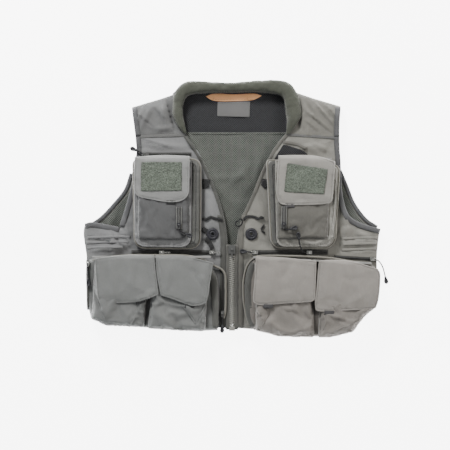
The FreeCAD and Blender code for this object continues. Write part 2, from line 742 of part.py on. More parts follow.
def solid_feature(shape):
    feature = doc.addObject("Part::Feature", "solid")
    feature.Shape = shape
    return feature


def linked(spot, heading):
    """The pull's metal link, turned about the cross bar at the spot."""
    link = pull_link(S.link_length)
    doc.recompute()
    Spot(spot.x, spot.y, spot.z, heading).hold(link)
    return link


def moulded_pull(name, spot, heading):
    """Metal link with a short moulded strand and its grip."""
    link = linked(spot, heading)
    route = [spot.placement().Base + V(*p) for p in STRANDS[name]]
    gathered(name, [link, solid_feature(tube(route)[0]), solid_feature(grip_shape(route))])


def corded_pull(word, spot, heading):
    """Metal link, and the grip at the far end of a cord that is a node of its own."""
    link = linked(spot, heading)
    route = [spot.placement().Base + V(*p) for p in CORDS[word]]
    shape, path = tube(route)
    radii = [e.Curve.Radius for e in path.Edges if hasattr(e.Curve, "Radius")]
    share = shape.Volume / (math.pi * (S.cord_thick.value / 2) ** 2 * path.Length)
    print(f"{word}_cord: {path.Length:.1f} long, volume {share:.3f} of section times length, radii", end=" ")
    print(" ".join(f"{r:.0f}" for r in radii))
    named(solid_feature(shape), f"{word}_cord")
    gathered(f"{word}_pull", [link, solid_feature(grip_shape(route))])


def zip_end(length):
    """How far along from a coil zip's middle its slider can go."""
    return length / 2 - S.cap_length / 2 - S.zip_stop


def coil_zip(spot, length):
    """Woven tape with the coil along its middle, centred on the spot and running along its Y."""
    body = new_body("coil_zip", spot)
    width = S.coil_tape_width
    pad(body, rectangle(-width / 2, -length / 2, width / 2, length / 2), S.coil_tape_thick)
    coil = rectangle(-S.coil_width / 2, -length / 2, S.coil_width / 2, length / 2)
    pad(body, coil, S.coil_height, S.coil_tape_thick)
    return body


def tray(name, spot, points, depth, inner, corner, wanted=lambda x, y: True):
    """A pocket of cloth, open towards the vest behind it: the outline, less the inner outline."""
    body = new_body(name, spot)
    pad(body, points, depth)
    round_corners(body, corner, wanted)
    hollow(body, inner, depth - S.pocket_wall)
    return named(body, name)


def flap(name, spot, width, length, tab_x):
    """A pocket flap hinged on the spot's X axis, with a webbing tab under its free edge."""
    body = new_body("flap_cloth", spot)
    pad(body, rectangle(-width / 2, -length, width / 2, 0), S.flap_thick)
    round_corners(body, S.flap_corner, lambda x, y: y < -1)
    tab = new_body("flap_tab", spot.shifted(tab_x, -length, 0))
    pad(tab, rectangle(-S.tab_width / 2, -S.tab_length, S.tab_width / 2, -0.01), S.tab_thick)
    gathered(name, [body, tab])


def make_chest_pocket(side, word, spot, tab_shift, zip_shift):
    """Zipped pod on the chest, with a stuff pocket, its upright zip, a flap and a loop patch."""
    inward = -side
    w, h, wall = S.chest_width, S.chest_height, S.pocket_wall
    inner = rectangle(wall - w / 2, wall - h, w / 2 - wall, -wall)
    tray(f"{word}_chest_pod", spot, rectangle(-w / 2, -h, w / 2, 0), S.chest_depth, inner, S.chest_corner)
    face = spot.shifted(side * S.pouch_shift, 0, S.chest_depth)
    pw, ph = S.pouch_width, S.pouch_height
    mouth = -(S.seat_width + S.mouth_drop)
    room = rectangle(wall - pw / 2, wall - ph, pw / 2 - wall, mouth + 1)
    pouch = tray(f"{word}_chest_pouch", face, rectangle(-pw / 2, -ph, pw / 2, mouth), S.pouch_depth, room,
                 S.pouch_foot, lambda x, y: y < -ph.value + 1)
    seat = rectangle(-pw / 2, -S.seat_width, pw / 2, 0)
    seats.append(plate_body(face, seat, S.pouch_depth))
    hinge = face.shifted(0, 0, S.pouch_depth + S.flap_gap)
    flap(f"{word}_chest_flap", hinge, S.chest_flap_width, S.chest_flap_length, inward * tab_shift)
    pw, ph = S.patch_width, S.patch_height
    patch = rectangle(-pw / 2, -S.patch_drop - ph, pw / 2, -S.patch_drop)
    plate(f"{word}_loop_patch", patch, S.patch_thick, hinge.shifted(0, 0, S.flap_thick),
          S.patch_corner)
    zip_top = -(S.chest_flap_length + S.tab_length + S.zip_stop)
    zip_spot = face.shifted(inward * zip_shift, zip_top - S.chest_zip_length / 2, S.pouch_depth)
    chest_zips.append(coil_zip(zip_spot, S.chest_zip_length))
    low = -zip_end(S.chest_zip_length)
    bar = slider(f"{word}_chest_slider", zip_spot.shifted(0, low, S.coil_tape_thick))
    moulded_pull(f"{word}_chest_pull", bar, spot.turn)
    return hinge, bar


def plate_body(spot, points, thick):
    body = new_body("piece", spot)
    pad(body, points, thick)
    return body


def make_cargo_pocket(side, word, spot):
    """Zipped bag at the hem with two bellows pouches and their flaps. The spot is its inner top corner."""
    w, h, wall = S.cargo_width, S.cargo_height, S.pocket_wall
    points = mirrored(rectangle(0.0, -h, w, 0.0), side)
    inner = mirrored([(wall, wall - h), (w - wall, wall - h), (w - wall, -wall),
                      (S.cargo_corner, -wall), (wall, -S.cargo_corner)], side)
    body = new_body(f"{word}_cargo_bag", spot)
    pad(body, points, S.cargo_depth)
    round_corners(body, S.cargo_corner, lambda x, y: abs(x) < 1 and y > -1)
    round_corners(body, S.bag_corner, lambda x, y: abs(x) > w.value - 1 or y < 1 - h.value)
    hollow(body, inner, S.cargo_depth - wall)
    named(body, f"{word}_cargo_bag")
    pouches, hinges = [], {}
    pw, ph = S.cargo_pouch_width, S.cargo_pouch_height
    start = S.cargo_gusset
    for which in ("inner", "outer"):
        centre = side * (start + pw / 2)
        face = spot.shifted(centre, 0, S.cargo_depth)
        mouth = -(S.seat_width + S.mouth_drop)
        pouch = new_body("bellows_pouch", face)
        pad(pouch, rectangle(-pw / 2, -ph, pw / 2, mouth), S.cargo_pouch_depth)
        round_corners(pouch, S.bellows_foot, lambda x, y: y < 1 - ph.value)
        hollow(pouch, rectangle(wall - pw / 2, wall - ph, pw / 2 - wall, mouth + 1),
               S.cargo_pouch_depth - wall)
        pouches.append(pouch)
        seats.append(plate_body(face, rectangle(-pw / 2, -S.seat_width, pw / 2, 0), S.cargo_pouch_depth))
        hinge = face.shifted(0, 0, S.cargo_pouch_depth + S.flap_gap)
        tab_x = -side * (S.inner_tab_shift if which == "inner" else S.outer_tab_shift)
        flap(f"{word}_{which}_flap", hinge, pw + S.flap_margin * 2, S.cargo_flap_length, tab_x)
        hinges[which] = hinge
        start = start + pw + S.cargo_pouch_space
    gathered(f"{word}_cargo_pouches", pouches)
    return hinges


def make_small_hardware():
    """Docking discs, elastic keepers and webbing squares beside the V neck."""
    discs, loops = [], []
    for side in (-1, 1):
        spot = Spot(side * S.disc_reach, under_zip_y + S.disc_rise, surface_z)
        disc = new_body("docking_disc", spot)
        ring = disc.newObject("Sketcher::SketchObject", "ring")
        plane = [f for f in disc.Origin.OriginFeatures if f.Role == "XY_Plane"][0]
        ring.AttachmentSupport = (plane, [""])
        ring.MapMode = "FlatFace"
        for i, radius in enumerate((S.disc_radius, S.disc_bore)):
            ring.addGeometry(Part.Circle(V(), V(0, 0, 1), radius.value))
            ring.addConstraint(Sketcher.Constraint("Coincident", i, 3, -1, 1))
            k = ring.addConstraint(Sketcher.Constraint("Radius", i, radius.value))
            ring.setExpression(f"Constraints[{k}]", radius.text)
        solid = disc.newObject("PartDesign::Pad", "disc")
        solid.Profile = ring
        solid.setExpression("Length", S.disc_thick.text)
        discs.append(disc)
        keeper = spot.shifted(side * S.keeper_shift, S.keeper_rise)
        reach = S.keeper_length / 2
        tall = S.keeper_width / 2
        loops.append(plate_body(keeper, rectangle(-reach, -tall, reach, tall), S.webbing))
        square = spot.shifted(side * S.hook_shift, S.hook_rise)
        edge = S.hook_tab / 2
        loops.append(plate_body(square, rectangle(-edge, -edge, edge, edge), S.webbing))
    gathered("docking_discs", discs)
    gathered("chest_loops", loops)


chest_zips, long_zips, seats = [], [], []
pod_top = top_y - S.chest_drop
left_pod = Spot(-S.chest_left, pod_top, surface_z)
right_pod = Spot(S.chest_right, pod_top, surface_z, -S.chest_tilt)
centre_slider_spot = Spot(0, neck_y - S.slider_length / 2 - S.slider_drop)

make_back()
for side, word in ((-1, "left"), (1, "right")):
    make_front(side, f"{word}_front")
    make_yoke(side, f"{word}_yoke")
make_side_folds()
make_bindings()
make_collar()
make_label_and_loop()

tape_z = front_z + S.tape_play
zip_middle = tape_z + S.tape_thick / 2
centre_bar_z = zip_middle + S.tooth_thick / 2 + S.slider_play + S.slider_wall + S.bar_rise
centre_pull_spot = Spot(0, centre_slider_spot.y, centre_bar_z)
make_centre_zip()
make_centre_slider(zip_middle)

left_chest = make_chest_pocket(-1, "left", left_pod, S.left_tab_shift, S.left_zip_shift)
right_chest = make_chest_pocket(1, "right", right_pod, S.right_tab_shift, S.right_zip_shift)

cargo_top = top_y - S.cargo_drop
left_bag = Spot(-S.cargo_inset, cargo_top, surface_z)
right_bag = Spot(S.cargo_inset, cargo_top, surface_z, -S.cargo_tilt)
left_hinges = make_cargo_pocket(-1, "left", left_bag)
right_hinges = make_cargo_pocket(1, "right", right_bag)

# Zips that lie on the fronts: one under each chest pocket, one over the left chest pocket, one over
# each end of the right cargo bag, and two beside the left cargo bag. A zip that lies along X is turned
# by 90 degrees, so its own -Y points to +X.
side_gap = S.zip_margin + S.coil_tape_width / 2
left_under = Spot(-S.chest_left + S.left_under_shift, under_zip_y, surface_z, 90)
right_under = Spot(S.chest_right - S.right_under_shift, under_zip_y, surface_z, 90)
left_top = Spot(-S.chest_left, pod_top + side_gap, surface_z, 90)
right_side = right_bag.shifted(S.cargo_width - S.side_zip_length / 2 - S.side_zip_inset, side_gap, 0, 90)
left_inner = Spot(-(S.cargo_inset + S.tape_width) / 2, cargo_top - S.cargo_height / 2, surface_z)
edge_x = -(S.cargo_width - S.zip_margin - S.coil_tape_width / 2)
left_edge = left_bag.shifted(edge_x, -S.edge_zip_drop - S.edge_zip_length / 2, S.cargo_depth)
for spot, length in (
    (left_under, S.left_under_length),
    (right_under, S.right_under_length),
    (left_top, S.top_zip_length),
    (right_side, S.side_zip_length),
    (left_inner, S.inner_zip_length),
    (left_edge, S.edge_zip_length),
):
    long_zips.append(coil_zip(spot, length))

on_tape = S.coil_tape_thick
left_under_bar = slider("left_under_slider", left_under.shifted(0, S.left_under_open, on_tape))
put(pull_link(S.tab_pull_length), "left_under_pull", left_under_bar)
left_centre_bar = slider("left_centre_slider", left_under.shifted(0, -zip_end(S.left_under_length), on_tape))
put(pull_link(S.tab_pull_length), "left_centre_pull", left_centre_bar)
right_under_bar = slider("right_under_slider", right_under.shifted(0, -S.right_under_open, on_tape))
corded_pull("right_under", right_under_bar, -90.0)
right_centre_bar = slider("right_centre_slider", right_under.shifted(0, zip_end(S.right_under_length), on_tape))
moulded_pull("right_centre_pull", right_centre_bar, -90.0)
left_top_bar = slider("left_top_slider", left_top.shifted(0, zip_end(S.top_zip_length), on_tape))
moulded_pull("left_top_pull", left_top_bar, -90.0)
right_side_bar = slider("right_side_slider", right_side.shifted(0, -zip_end(S.side_zip_length), on_tape))
corded_pull("right_side", right_side_bar, 90 - S.cargo_tilt)
left_inner_bar = slider("left_inner_slider", left_inner.shifted(0, -zip_end(S.inner_zip_length), on_tape))
moulded_pull("left_inner_pull", left_inner_bar, 0.0)
left_edge_bar = slider("left_edge_slider", left_edge.shifted(0, zip_end(S.edge_zip_length), on_tape))
moulded_pull("left_edge_pull", left_edge_bar, 0.0)

gathered("chest_zips", chest_zips)
gathered("pocket_zips", long_zips)
gathered("flap_seats", seats)
make_small_hardware()
doc.recompute()


def write_parts():
    """Checks every object, then writes each node's solids to parts/NODE.step."""
    failed = [o.Label for o in doc.Objects if "Invalid" in o.State or "Error" in o.State]
    if failed:
        raise ValueError(f"these objects failed: {failed}")
    os.makedirs("parts", exist_ok=True)
    for name, obj in nodes.items():
        shape = obj.Shape
        if shape.isNull() or not shape.isValid() or not shape.Solids:
            raise ValueError(f"{name} has no valid solid")
        shape.exportStep(f"parts/{name}.step")
    print(len(nodes), "nodes written")


def print_spots():
    """Prints the hinge lines and cross bars, which the joints turn on, in metres."""
    for name, spot in joint_spots.items():
        x, y, z = (getattr(spot, axis).value / 1000 for axis in "xyz")
        print(f"{name}: {x:.5f} {y:.5f} {z:.5f} turned {spot.turn.value:g}")


joint_spots = {
    "hang_loop": loop_spot,
    "centre": centre_pull_spot,
    "left_chest_flap": left_chest[0],
    "right_chest_flap": right_chest[0],
    "left_inner_flap": left_hinges["inner"],
    "left_outer_flap": left_hinges["outer"],
    "right_inner_flap": right_hinges["inner"],
    "right_outer_flap": right_hinges["outer"],
    "left_chest": left_chest[1],
    "right_chest": right_chest[1],
    "left_under": left_under_bar,
    "left_centre": left_centre_bar,
    "right_under": right_under_bar,
    "right_centre": right_centre_bar,
    "left_top": left_top_bar,
    "right_side": right_side_bar,
    "left_inner": left_inner_bar,
    "left_edge": left_edge_bar,
}
write_parts()
print_spots()
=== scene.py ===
import bpy
import json
import math
import numpy as np
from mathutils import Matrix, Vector
from mathutils.bvhtree import BVHTree
from mathutils.geometry import delaunay_2d_cdt


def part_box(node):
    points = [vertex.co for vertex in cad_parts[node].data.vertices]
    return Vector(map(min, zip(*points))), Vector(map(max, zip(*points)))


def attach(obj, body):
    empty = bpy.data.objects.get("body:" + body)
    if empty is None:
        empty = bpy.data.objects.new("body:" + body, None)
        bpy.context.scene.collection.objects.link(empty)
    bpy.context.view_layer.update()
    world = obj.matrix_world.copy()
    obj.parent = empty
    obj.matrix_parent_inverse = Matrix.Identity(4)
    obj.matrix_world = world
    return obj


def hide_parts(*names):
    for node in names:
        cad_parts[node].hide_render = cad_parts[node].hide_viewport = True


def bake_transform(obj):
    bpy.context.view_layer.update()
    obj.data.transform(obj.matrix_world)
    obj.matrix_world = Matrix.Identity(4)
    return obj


# The fishing vest's looks. Outlines and heights below are in millimetres and in the frame's own axes:
# the vest lies on its back, +Z up, +Y towards the collar. MM turns them into metres for Blender.
MM = 0.001
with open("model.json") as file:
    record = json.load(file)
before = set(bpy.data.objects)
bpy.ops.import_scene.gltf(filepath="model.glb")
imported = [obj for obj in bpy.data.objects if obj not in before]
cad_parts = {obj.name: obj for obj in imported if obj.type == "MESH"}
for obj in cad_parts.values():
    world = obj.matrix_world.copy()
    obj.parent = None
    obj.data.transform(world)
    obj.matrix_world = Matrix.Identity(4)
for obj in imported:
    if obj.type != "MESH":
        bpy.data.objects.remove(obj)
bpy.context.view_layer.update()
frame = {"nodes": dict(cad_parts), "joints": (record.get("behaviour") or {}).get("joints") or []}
joints = {j["name"]: j for j in frame["joints"]}


def low(node, axis):
    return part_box(node)[0][axis] / MM


def high(node, axis):
    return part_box(node)[1][axis] / MM


def pivot(joint):
    """A joint's pivot in millimetres."""
    return np.array(joints[joint]["pos_m"]) / MM


FRONT = high("left_front", 2)            # top of the front cloth
BACK = high("back_panel", 2)             # top of the back cloth
POD = high("left_chest_pod", 2)          # face of a chest pod
POUCH = high("left_chest_pouch", 2)      # face of a chest pouch
BAG = high("left_cargo_bag", 2)          # face of a cargo bag
BELLOWS = high("left_cargo_pouches", 2)  # face of a bellows pouch
CHEST_ZIP, CHEST_FLAP, CARGO_FLAP = 37.9, 39.0, 43.9    # heights above the table
FLAP_LENGTH = 90
TAPE_MIDDLE, TAPE_STITCHES, TOOTH_PITCH = 6.9, 11.2, 4.0    # of the centre zip, from its middle
COIL_WIDTH, COIL_PITCH = 2.4, 1.9
GRIP_LENGTH, GRIP_WIDTH, GRIP_THICK = 15.0, 9.0, 4.0
LINK_WIDTH, LINK_THICK = 3.8, 1.1
TAB_WIDTH, TAB_LENGTH, TAB_TUCK = 19, 5.5, 2            # a tab starts its tuck inside the flap's edge
STITCH_PITCH, THREAD = 3.0, 0.7
SETTLING_FRAMES = 16
# The right front's finishes are lighter, warmer copies of the same cloth: painted light, for the brighter,
# warmer light on the vest's right side.
SHELL = {"left": "shell", "right": "shell_warm"}        # the finish of each front

# ---------------------------------------------------------------- camera, light and floor

CAMERA_PLACE = (-0.0137, -0.0312, 2.10)
LENS, SENSOR = 85, 36
FLOOR_SIZE, FLOOR_DROP = 8, 0.0004
FLOOR_WHITE, FLOOR_GLOW = 0.98, 6.6
WORLD_LIGHT = 0.24
# Each lamp's place in metres, its side, its power in watts and its tint.
LAMPS = {
    "key": ((-0.75, 1.7, 1.05), 0.4, 66, (1, 0.99, 0.97)),
    "side": ((1.6, 0.3, 1.0), 0.7, 20, (1, 0.96, 0.91)),
    "fill": ((-1.6, -0.7, 1.2), 1.3, 9, (0.94, 0.97, 1)),
}


def placed(name, data):
    """A new object in the scene."""
    obj = bpy.data.objects.new(name, data)
    bpy.context.scene.collection.objects.link(obj)
    return obj


def make_stage():
    """Camera, glowing white floor, lamps and the sky's light."""
    camera = placed("camera", bpy.data.cameras.new("camera"))
    camera.location = CAMERA_PLACE
    camera.data.lens = LENS
    camera.data.sensor_width = SENSOR
    camera.data.clip_start = 0.01
    bpy.context.scene.camera = camera
    bpy.ops.mesh.primitive_plane_add(size=FLOOR_SIZE, location=(0, 0, -FLOOR_DROP))
    floor = bpy.context.object
    floor.name = "floor"
    white = {"Base Color": (FLOOR_WHITE, FLOOR_WHITE, FLOOR_WHITE, 1), "Roughness": 0.6,
             "Emission Color": (1, 1, 1, 1), "Emission Strength": FLOOR_GLOW}
    floor.data.materials.append(new_material("floor", white)[0])
    for name, (place, size, power, tint) in LAMPS.items():
        lamp = placed(name, bpy.data.lights.new(name, "AREA"))
        lamp.data.size = size
        lamp.data.energy = power
        lamp.data.color = tint
        lamp.location = place
        lamp.rotation_euler = (-Vector(place)).to_track_quat("-Z", "Y").to_euler()
    world = bpy.data.worlds.new("studio")
    world.use_nodes = True
    sky = world.node_tree.nodes["Background"]
    sky.inputs["Color"].default_value = (1, 1, 1, 1)
    sky.inputs["Strength"].default_value = WORLD_LIGHT
    bpy.context.scene.world = world


# ---------------------------------------------------------------- materials


def linear(rgb):
    """sRGB from 0 to 255, as the linear colour that a shader takes."""
    parts = [c / 255 for c in rgb]
    return tuple(c / 12.92 if c <= 0.04045 else ((c + 0.055) / 1.055) ** 2.4 for c in parts)


def new_material(name, values):
    """A material with these values on its shader, and its node tree."""
    material = bpy.data.materials.new(name)
    material.use_nodes = True
    for socket, value in values.items():
        material.node_tree.nodes["Principled BSDF"].inputs[socket].default_value = value
    return material, material.node_tree


def add(tree, kind, values):
    """A node of that kind; each value sets, or is linked to, the input or property of its name."""
    node = tree.nodes.new(kind)
    for key, value in values.items():
        if key not in node.inputs:
            setattr(node, key, value)
        elif isinstance(value, bpy.types.NodeSocket):
            tree.links.new(value, node.inputs[key])
        else:
            node.inputs[key].default_value = value
    return node


def feed(tree, socket, output):
    """Links an output to one of the shader's sockets."""
    tree.links.new(output, tree.nodes["Principled BSDF"].inputs[socket])


def maths(tree, operation, *operands):
    """The result of one sum, of numbers and of other nodes' outputs."""
    node = add(tree, "ShaderNodeMath", {"operation": operation})
    for socket, value in zip(node.inputs, operands):
        if isinstance(value, (int, float)):
            socket.default_value = value
        else:
            tree.links.new(value, socket)
    return node.outputs[0]


def scaled(tree, value, scale, start):
    """The value times a scale, from a start."""
    return maths(tree, "ADD", maths(tree, "MULTIPLY", value, scale), start)


def threads(tree, coords, pitch):
    """Height of a plain weave: warp and weft that pass over each other."""
    split = add(tree, "ShaderNodeSeparateXYZ", {"Vector": coords})
    turn = 2 * math.pi / (pitch * MM)
    waves = []
    for axis in (0, 1):
        along = maths(tree, "ADD", split.outputs[axis], split.outputs[2])
        waves.append(maths(tree, "SINE", maths(tree, "MULTIPLY", along, turn)))
    return maths(tree, "MULTIPLY", *waves)


def dye(tree, rgb, level):
    """The colour, lighter or darker by a level that changes over the surface."""
    values = {"operation": "SCALE", "Vector": linear(rgb), "Scale": level}
    return add(tree, "ShaderNodeVectorMath", values).outputs[0]


def noise(tree, coords, scale, detail, roughness):
    """Cloudy noise from 0 to 1."""
    values = {"Vector": coords, "Scale": scale, "Detail": detail, "Roughness": roughness}
    return add(tree, "ShaderNodeTexNoise", values).outputs[0]


def emboss(tree, height, strength, distance):
    """Relief on the surface, over distance in metres."""
    bump = add(tree, "ShaderNodeBump", {"Height": height, "Strength": strength, "Distance": distance})
    feed(tree, "Normal", bump.outputs[0])


def cloth(name, rgb, pitch=1.1, relief=0.45, mottle=0.14, roughness=0.88, sheen=0.25, blotch=40):
    """Woven cloth: its weave, worn, uneven dye, and painted shade that darkens its colour in hollows, gaps
    and folds.
    """
    values = {"Roughness": roughness, "Sheen Weight": sheen, "Sheen Roughness": 0.5}
    material, tree = new_material(name, values)
    coords = add(tree, "ShaderNodeTexCoord", {}).outputs["Object"]
    weave = threads(tree, coords, pitch)
    patches = noise(tree, coords, blotch, 6, 0.65)
    slub = noise(tree, coords, 900, 2, 0.5)
    shade = maths(tree, "MULTIPLY", maths(tree, "SUBTRACT", patches, 0.5), mottle * 2.4)
    grain = maths(tree, "MULTIPLY", maths(tree, "SUBTRACT", slub, 0.5), mottle * 1.2)
    warp = maths(tree, "MULTIPLY", weave, mottle * 0.35)
    uneven = maths(tree, "ADD", maths(tree, "ADD", shade, grain), warp)
    # Painted shade: ambient occlusion darkens the dye in hollows, gaps and folds, standing in for shadow.
    hollow = add(tree, "ShaderNodeAmbientOcclusion", {"Distance": 0.014, "samples": 8})
    painted_hollow_shade = scaled(tree, hollow.outputs["AO"], 0.78, 0.26)
    level = maths(tree, "MULTIPLY", maths(tree, "ADD", uneven, 1.0), painted_hollow_shade)
    feed(tree, "Base Color", dye(tree, rgb, level))
    emboss(tree, maths(tree, "ADD", weave, maths(tree, "MULTIPLY", slub, 1.4)), relief, 0.0003)
    return material


def mesh_cloth(name, rgb, hole_rgb, pitch, hole, relief):
    """Knitted mesh: staggered round holes in a softly mottled knit."""
    material, tree = new_material(name, {"Roughness": 0.8, "Sheen Weight": 0.2})
    coords = add(tree, "ShaderNodeTexCoord", {}).outputs["Object"]
    slant = {"Vector": coords, "Rotation": (0, 0, math.radians(45)), "Scale": (1, 1, 0)}
    slanted = add(tree, "ShaderNodeMapping", slant).outputs[0]
    net = {"Vector": slanted, "Scale": 1 / (pitch * MM), "Randomness": 0.12}
    cells = add(tree, "ShaderNodeTexVoronoi", net)
    edge = add(tree, "ShaderNodeMapRange", {
        "interpolation_type": "SMOOTHSTEP", "Value": cells.outputs["Distance"],
        "From Min": hole - 0.14, "From Max": hole + 0.08}).outputs[0]
    level = scaled(tree, noise(tree, coords, 45, 5, 0.6), 0.35, 0.83)
    mix = add(tree, "ShaderNodeMix", {
        "data_type": "RGBA", "A": (*linear(hole_rgb), 1), "Factor": edge, "B": dye(tree, rgb, level)})
    feed(tree, "Base Color", mix.outputs["Result"])
    emboss(tree, edge, relief, 0.0008)
    return material


def hard(name, rgb, roughness, metallic=0.0):
    """Metal or moulded plastic: rubbed, with an uneven gloss and a fine cast grain."""
    wear = 0.12
    material, tree = new_material(name, {"Metallic": metallic})
    coords = add(tree, "ShaderNodeTexCoord", {}).outputs["Object"]
    grain = noise(tree, coords, 500, 4, 0.6)
    gloss = add(tree, "ShaderNodeMapRange", {
        "Value": grain, "To Min": max(0.05, roughness - wear), "To Max": min(1.0, roughness + wear)})
    feed(tree, "Roughness", gloss.outputs[0])
    feed(tree, "Base Color", dye(tree, rgb, scaled(tree, grain, wear * 2, 1 - wear)))
    emboss(tree, grain, 0.12, 0.0002)
    return material


THREAD_LOOK = {"pitch": 0.5, "relief": 0.4, "mottle": 0.1}

# Finishes by the way they are made: the slot, each finish's colour, and what they share.
FINISHES = [
    # Shell cloth: copies of one cloth, each lighter or darker as the light falls on its region, which is
    # painted light and shade. Flaps are lighter and cargo pockets darker.
    (cloth, "shell_cloth", {
        # Each right-side copy here is the same cloth painted lighter and warmer: painted light on that side.
        "shell": (124, 125, 126), "shell_warm": (133, 132, 126),
        "pod": (136, 137, 138), "pod_warm": (148, 147, 141),
        "yoke": (103, 104, 104), "yoke_warm": (117, 116, 110),
        "flap": (140, 141, 140), "flap_warm": (148, 146, 141),
        "cargo": (114, 116, 115), "cargo_warm": (128, 124, 119),
        "cargo_flap": (121, 123, 122), "cargo_flap_warm": (148, 144, 139)}, {}),
    # The facing colour is the shell cloth made darker: painted shade, for the shadow beside the centre zip,
    # on the V facings and plackets alike.
    (cloth, "shell_cloth", {"facing": (76, 77, 74), "facing_warm": (98, 97, 92)}, {"pitch": 1.2}),
    (cloth, "shell_cloth", {"thread": (112, 113, 111), "thread_dark": (62, 63, 62)}, THREAD_LOOK),
    (cloth, "loop_webbing", {"thread_loop": (205, 130, 80)}, THREAD_LOOK),
    (cloth, "patch_pile", {"thread_patch": (90, 98, 88)}, THREAD_LOOK),
    (cloth, "binding_cloth", {"binding": (88, 89, 91)}, {"pitch": 1.6, "relief": 0.5}),
    (cloth, "binding_cloth", {"binding_pale": (102, 103, 102)}, {"pitch": 1.3, "relief": 0.4}),
    (cloth, "binding_cloth", {"piping": (126, 124, 116)}, {"pitch": 1.0, "relief": 0.4}),
    # The panel's right-side copy is the same cloth painted lighter and warmer: painted light on that side.
    (cloth, "panel_cloth", {"panel": (86, 87, 88), "panel_warm": (97, 96, 91)},
     {"pitch": 1.3, "mottle": 0.13}),
    (cloth, "panel_cloth", {"panel_edge": (116, 117, 114)}, {"pitch": 1.0}),
    (cloth, "collar_knit", {"collar": (72, 75, 66)},
     {"pitch": 2.4, "relief": 1.0, "mottle": 0.26, "roughness": 0.95, "sheen": 0.3, "blotch": 120}),
    (cloth, "loop_webbing", {"loop": (255, 190, 136)},
     {"pitch": 1.8, "relief": 0.6, "mottle": 0.12, "roughness": 0.7, "sheen": 0.1}),
    (cloth, "label_cloth", {"label": (98, 98, 98)},
     {"pitch": 0.6, "relief": 0.2, "mottle": 0.05, "roughness": 0.6, "sheen": 0.1}),
    (cloth, "patch_pile", {"patch": (104, 113, 102)},
     {"pitch": 1.5, "relief": 1.0, "mottle": 1.5, "roughness": 0.98, "sheen": 0.3, "blotch": 420}),
    # Zip tape: the dark tape colour is partly the tape's own colour and partly painted shadow, for the dark
    # channel under each chest pod where the under zips lie.
    (cloth, "zip_tape", {"tape": (64, 65, 64), "tape_mid": (92, 93, 90), "tape_pale": (96, 96, 92)},
     {"relief": 0.6, "mottle": 0.15}),
    (cloth, "cord_black", {"cord": (26, 27, 30)},
     {"pitch": 0.8, "relief": 0.6, "mottle": 0.15, "roughness": 0.8, "sheen": 0.0, "blotch": 300}),
    (cloth, "black_webbing", {"webbing": (30, 31, 32)}, {"pitch": 1.4, "relief": 0.8, "mottle": 0.25}),
    # The right side's webbing is the same webbing painted paler: painted light on that side.
    (cloth, "black_webbing", {"webbing_pale": (74, 74, 76)}, {"pitch": 1.4, "relief": 0.8, "mottle": 0.2}),
    (mesh_cloth, "black_mesh", {"yoke_mesh": (41, 43, 48)},
     {"hole_rgb": (5, 6, 8), "pitch": 3.2, "hole": 0.42, "relief": 0.9}),
    (mesh_cloth, "olive_mesh", {"lining_mesh": (97, 101, 96)},
     {"hole_rgb": (44, 47, 42), "pitch": 3.2, "hole": 0.38, "relief": 0.6}),
    (hard, "zip_teeth", {"teeth": (150, 150, 144)}, {"roughness": 0.42}),
    (hard, "zip_teeth", {"teeth_dark": (60, 61, 60)}, {"roughness": 0.5}),
    (hard, "slider_metal", {"gunmetal": (120, 121, 120)}, {"roughness": 0.38, "metallic": 0.7}),
    (hard, "bright_metal", {"bright": (205, 206, 202)}, {"roughness": 0.28, "metallic": 0.9}),
    (hard, "grip_rubber", {"grip": (44, 45, 49)}, {"roughness": 0.62}),
    (hard, "disc_plastic", {"disc": (34, 34, 42)}, {"roughness": 0.6}),
]


# ---------------------------------------------------------------- lines and meshes


def unit(vectors):
    """The same directions, one long."""
    vectors = np.asarray(vectors, float)
    return vectors / np.maximum(np.linalg.norm(vectors, axis=-1, keepdims=True), 1e-9)


def leftward(line, closed=True):
    """The direction to the left of a flat line at each of its points."""
    ahead = np.roll(line, -1, axis=0) - np.roll(line, 1, axis=0) if closed else np.gradient(line, axis=0)
    return unit(np.stack([-ahead[:, 1], ahead[:, 0]], 1))


def grid_faces(rows, count, closed):
    """Faces of a tube made of rows of count points; one that isn't closed gets an end at both sides."""
    faces = []
    for i in range(rows if closed else rows - 1):
        j = (i + 1) % rows
        for k in range(count):
            m = (k + 1) % count
            faces.append((i * count + k, i * count + m, j * count + m, j * count + k))
    if not closed:
        faces += [tuple(range(count - 1, -1, -1)), tuple((rows - 1) * count + k for k in range(count))]
    return faces


def curve_through(points, step):
    """A smooth line through the points, sampled about every step."""
    given = np.array(points, float)
    if len(given) == 2:
        count = max(2, round(np.linalg.norm(given[1] - given[0]) / step) + 1)
        return given[0] + (given[1] - given[0]) * np.linspace(0, 1, count)[:, None]
    ends = np.vstack([2 * given[0] - given[1], given, 2 * given[-1] - given[-2]])
    found = []
    for a, b, c, d in zip(ends, ends[1:], ends[2:], ends[3:]):
        count = max(2, round(np.linalg.norm(c - b) / step))
        t = np.linspace(0, 1, count, endpoint=False)[:, None]
        found.append(0.5 * (2 * b + (c - a) * t + (2 * a - 5 * b + 4 * c - d) * t**2
                            + (3 * b - a - 3 * c + d) * t**3))
    found.append(given[-1:])
    return np.vstack(found)


def closed_line(points, step=3.0):
    """A closed outline, anticlockwise. It is smooth at a point (x, y) and sharp at (x, y, 0)."""
    sharp = [i for i, p in enumerate(points) if len(p) == 3]
    flat = [tuple(p[:2]) for p in points]
    if not sharp:
        line = curve_through(flat[-2:] + flat + flat[:3], step)
        first = int(np.argmin(np.linalg.norm(line - flat[0], axis=1)))
        ahead = line[first + 2:]
        last = first + 2 + int(np.argmin(np.linalg.norm(ahead - flat[0], axis=1)))
        return line[first:last]
    turned = flat[sharp[0]:] + flat[:sharp[0]] + [flat[sharp[0]]]
    cuts = [i - sharp[0] for i in sharp] + [len(points)]
    parts = [curve_through(turned[a:b + 1], step)[:-1] for a, b in zip(cuts, cuts[1:])]
    return np.vstack(parts)


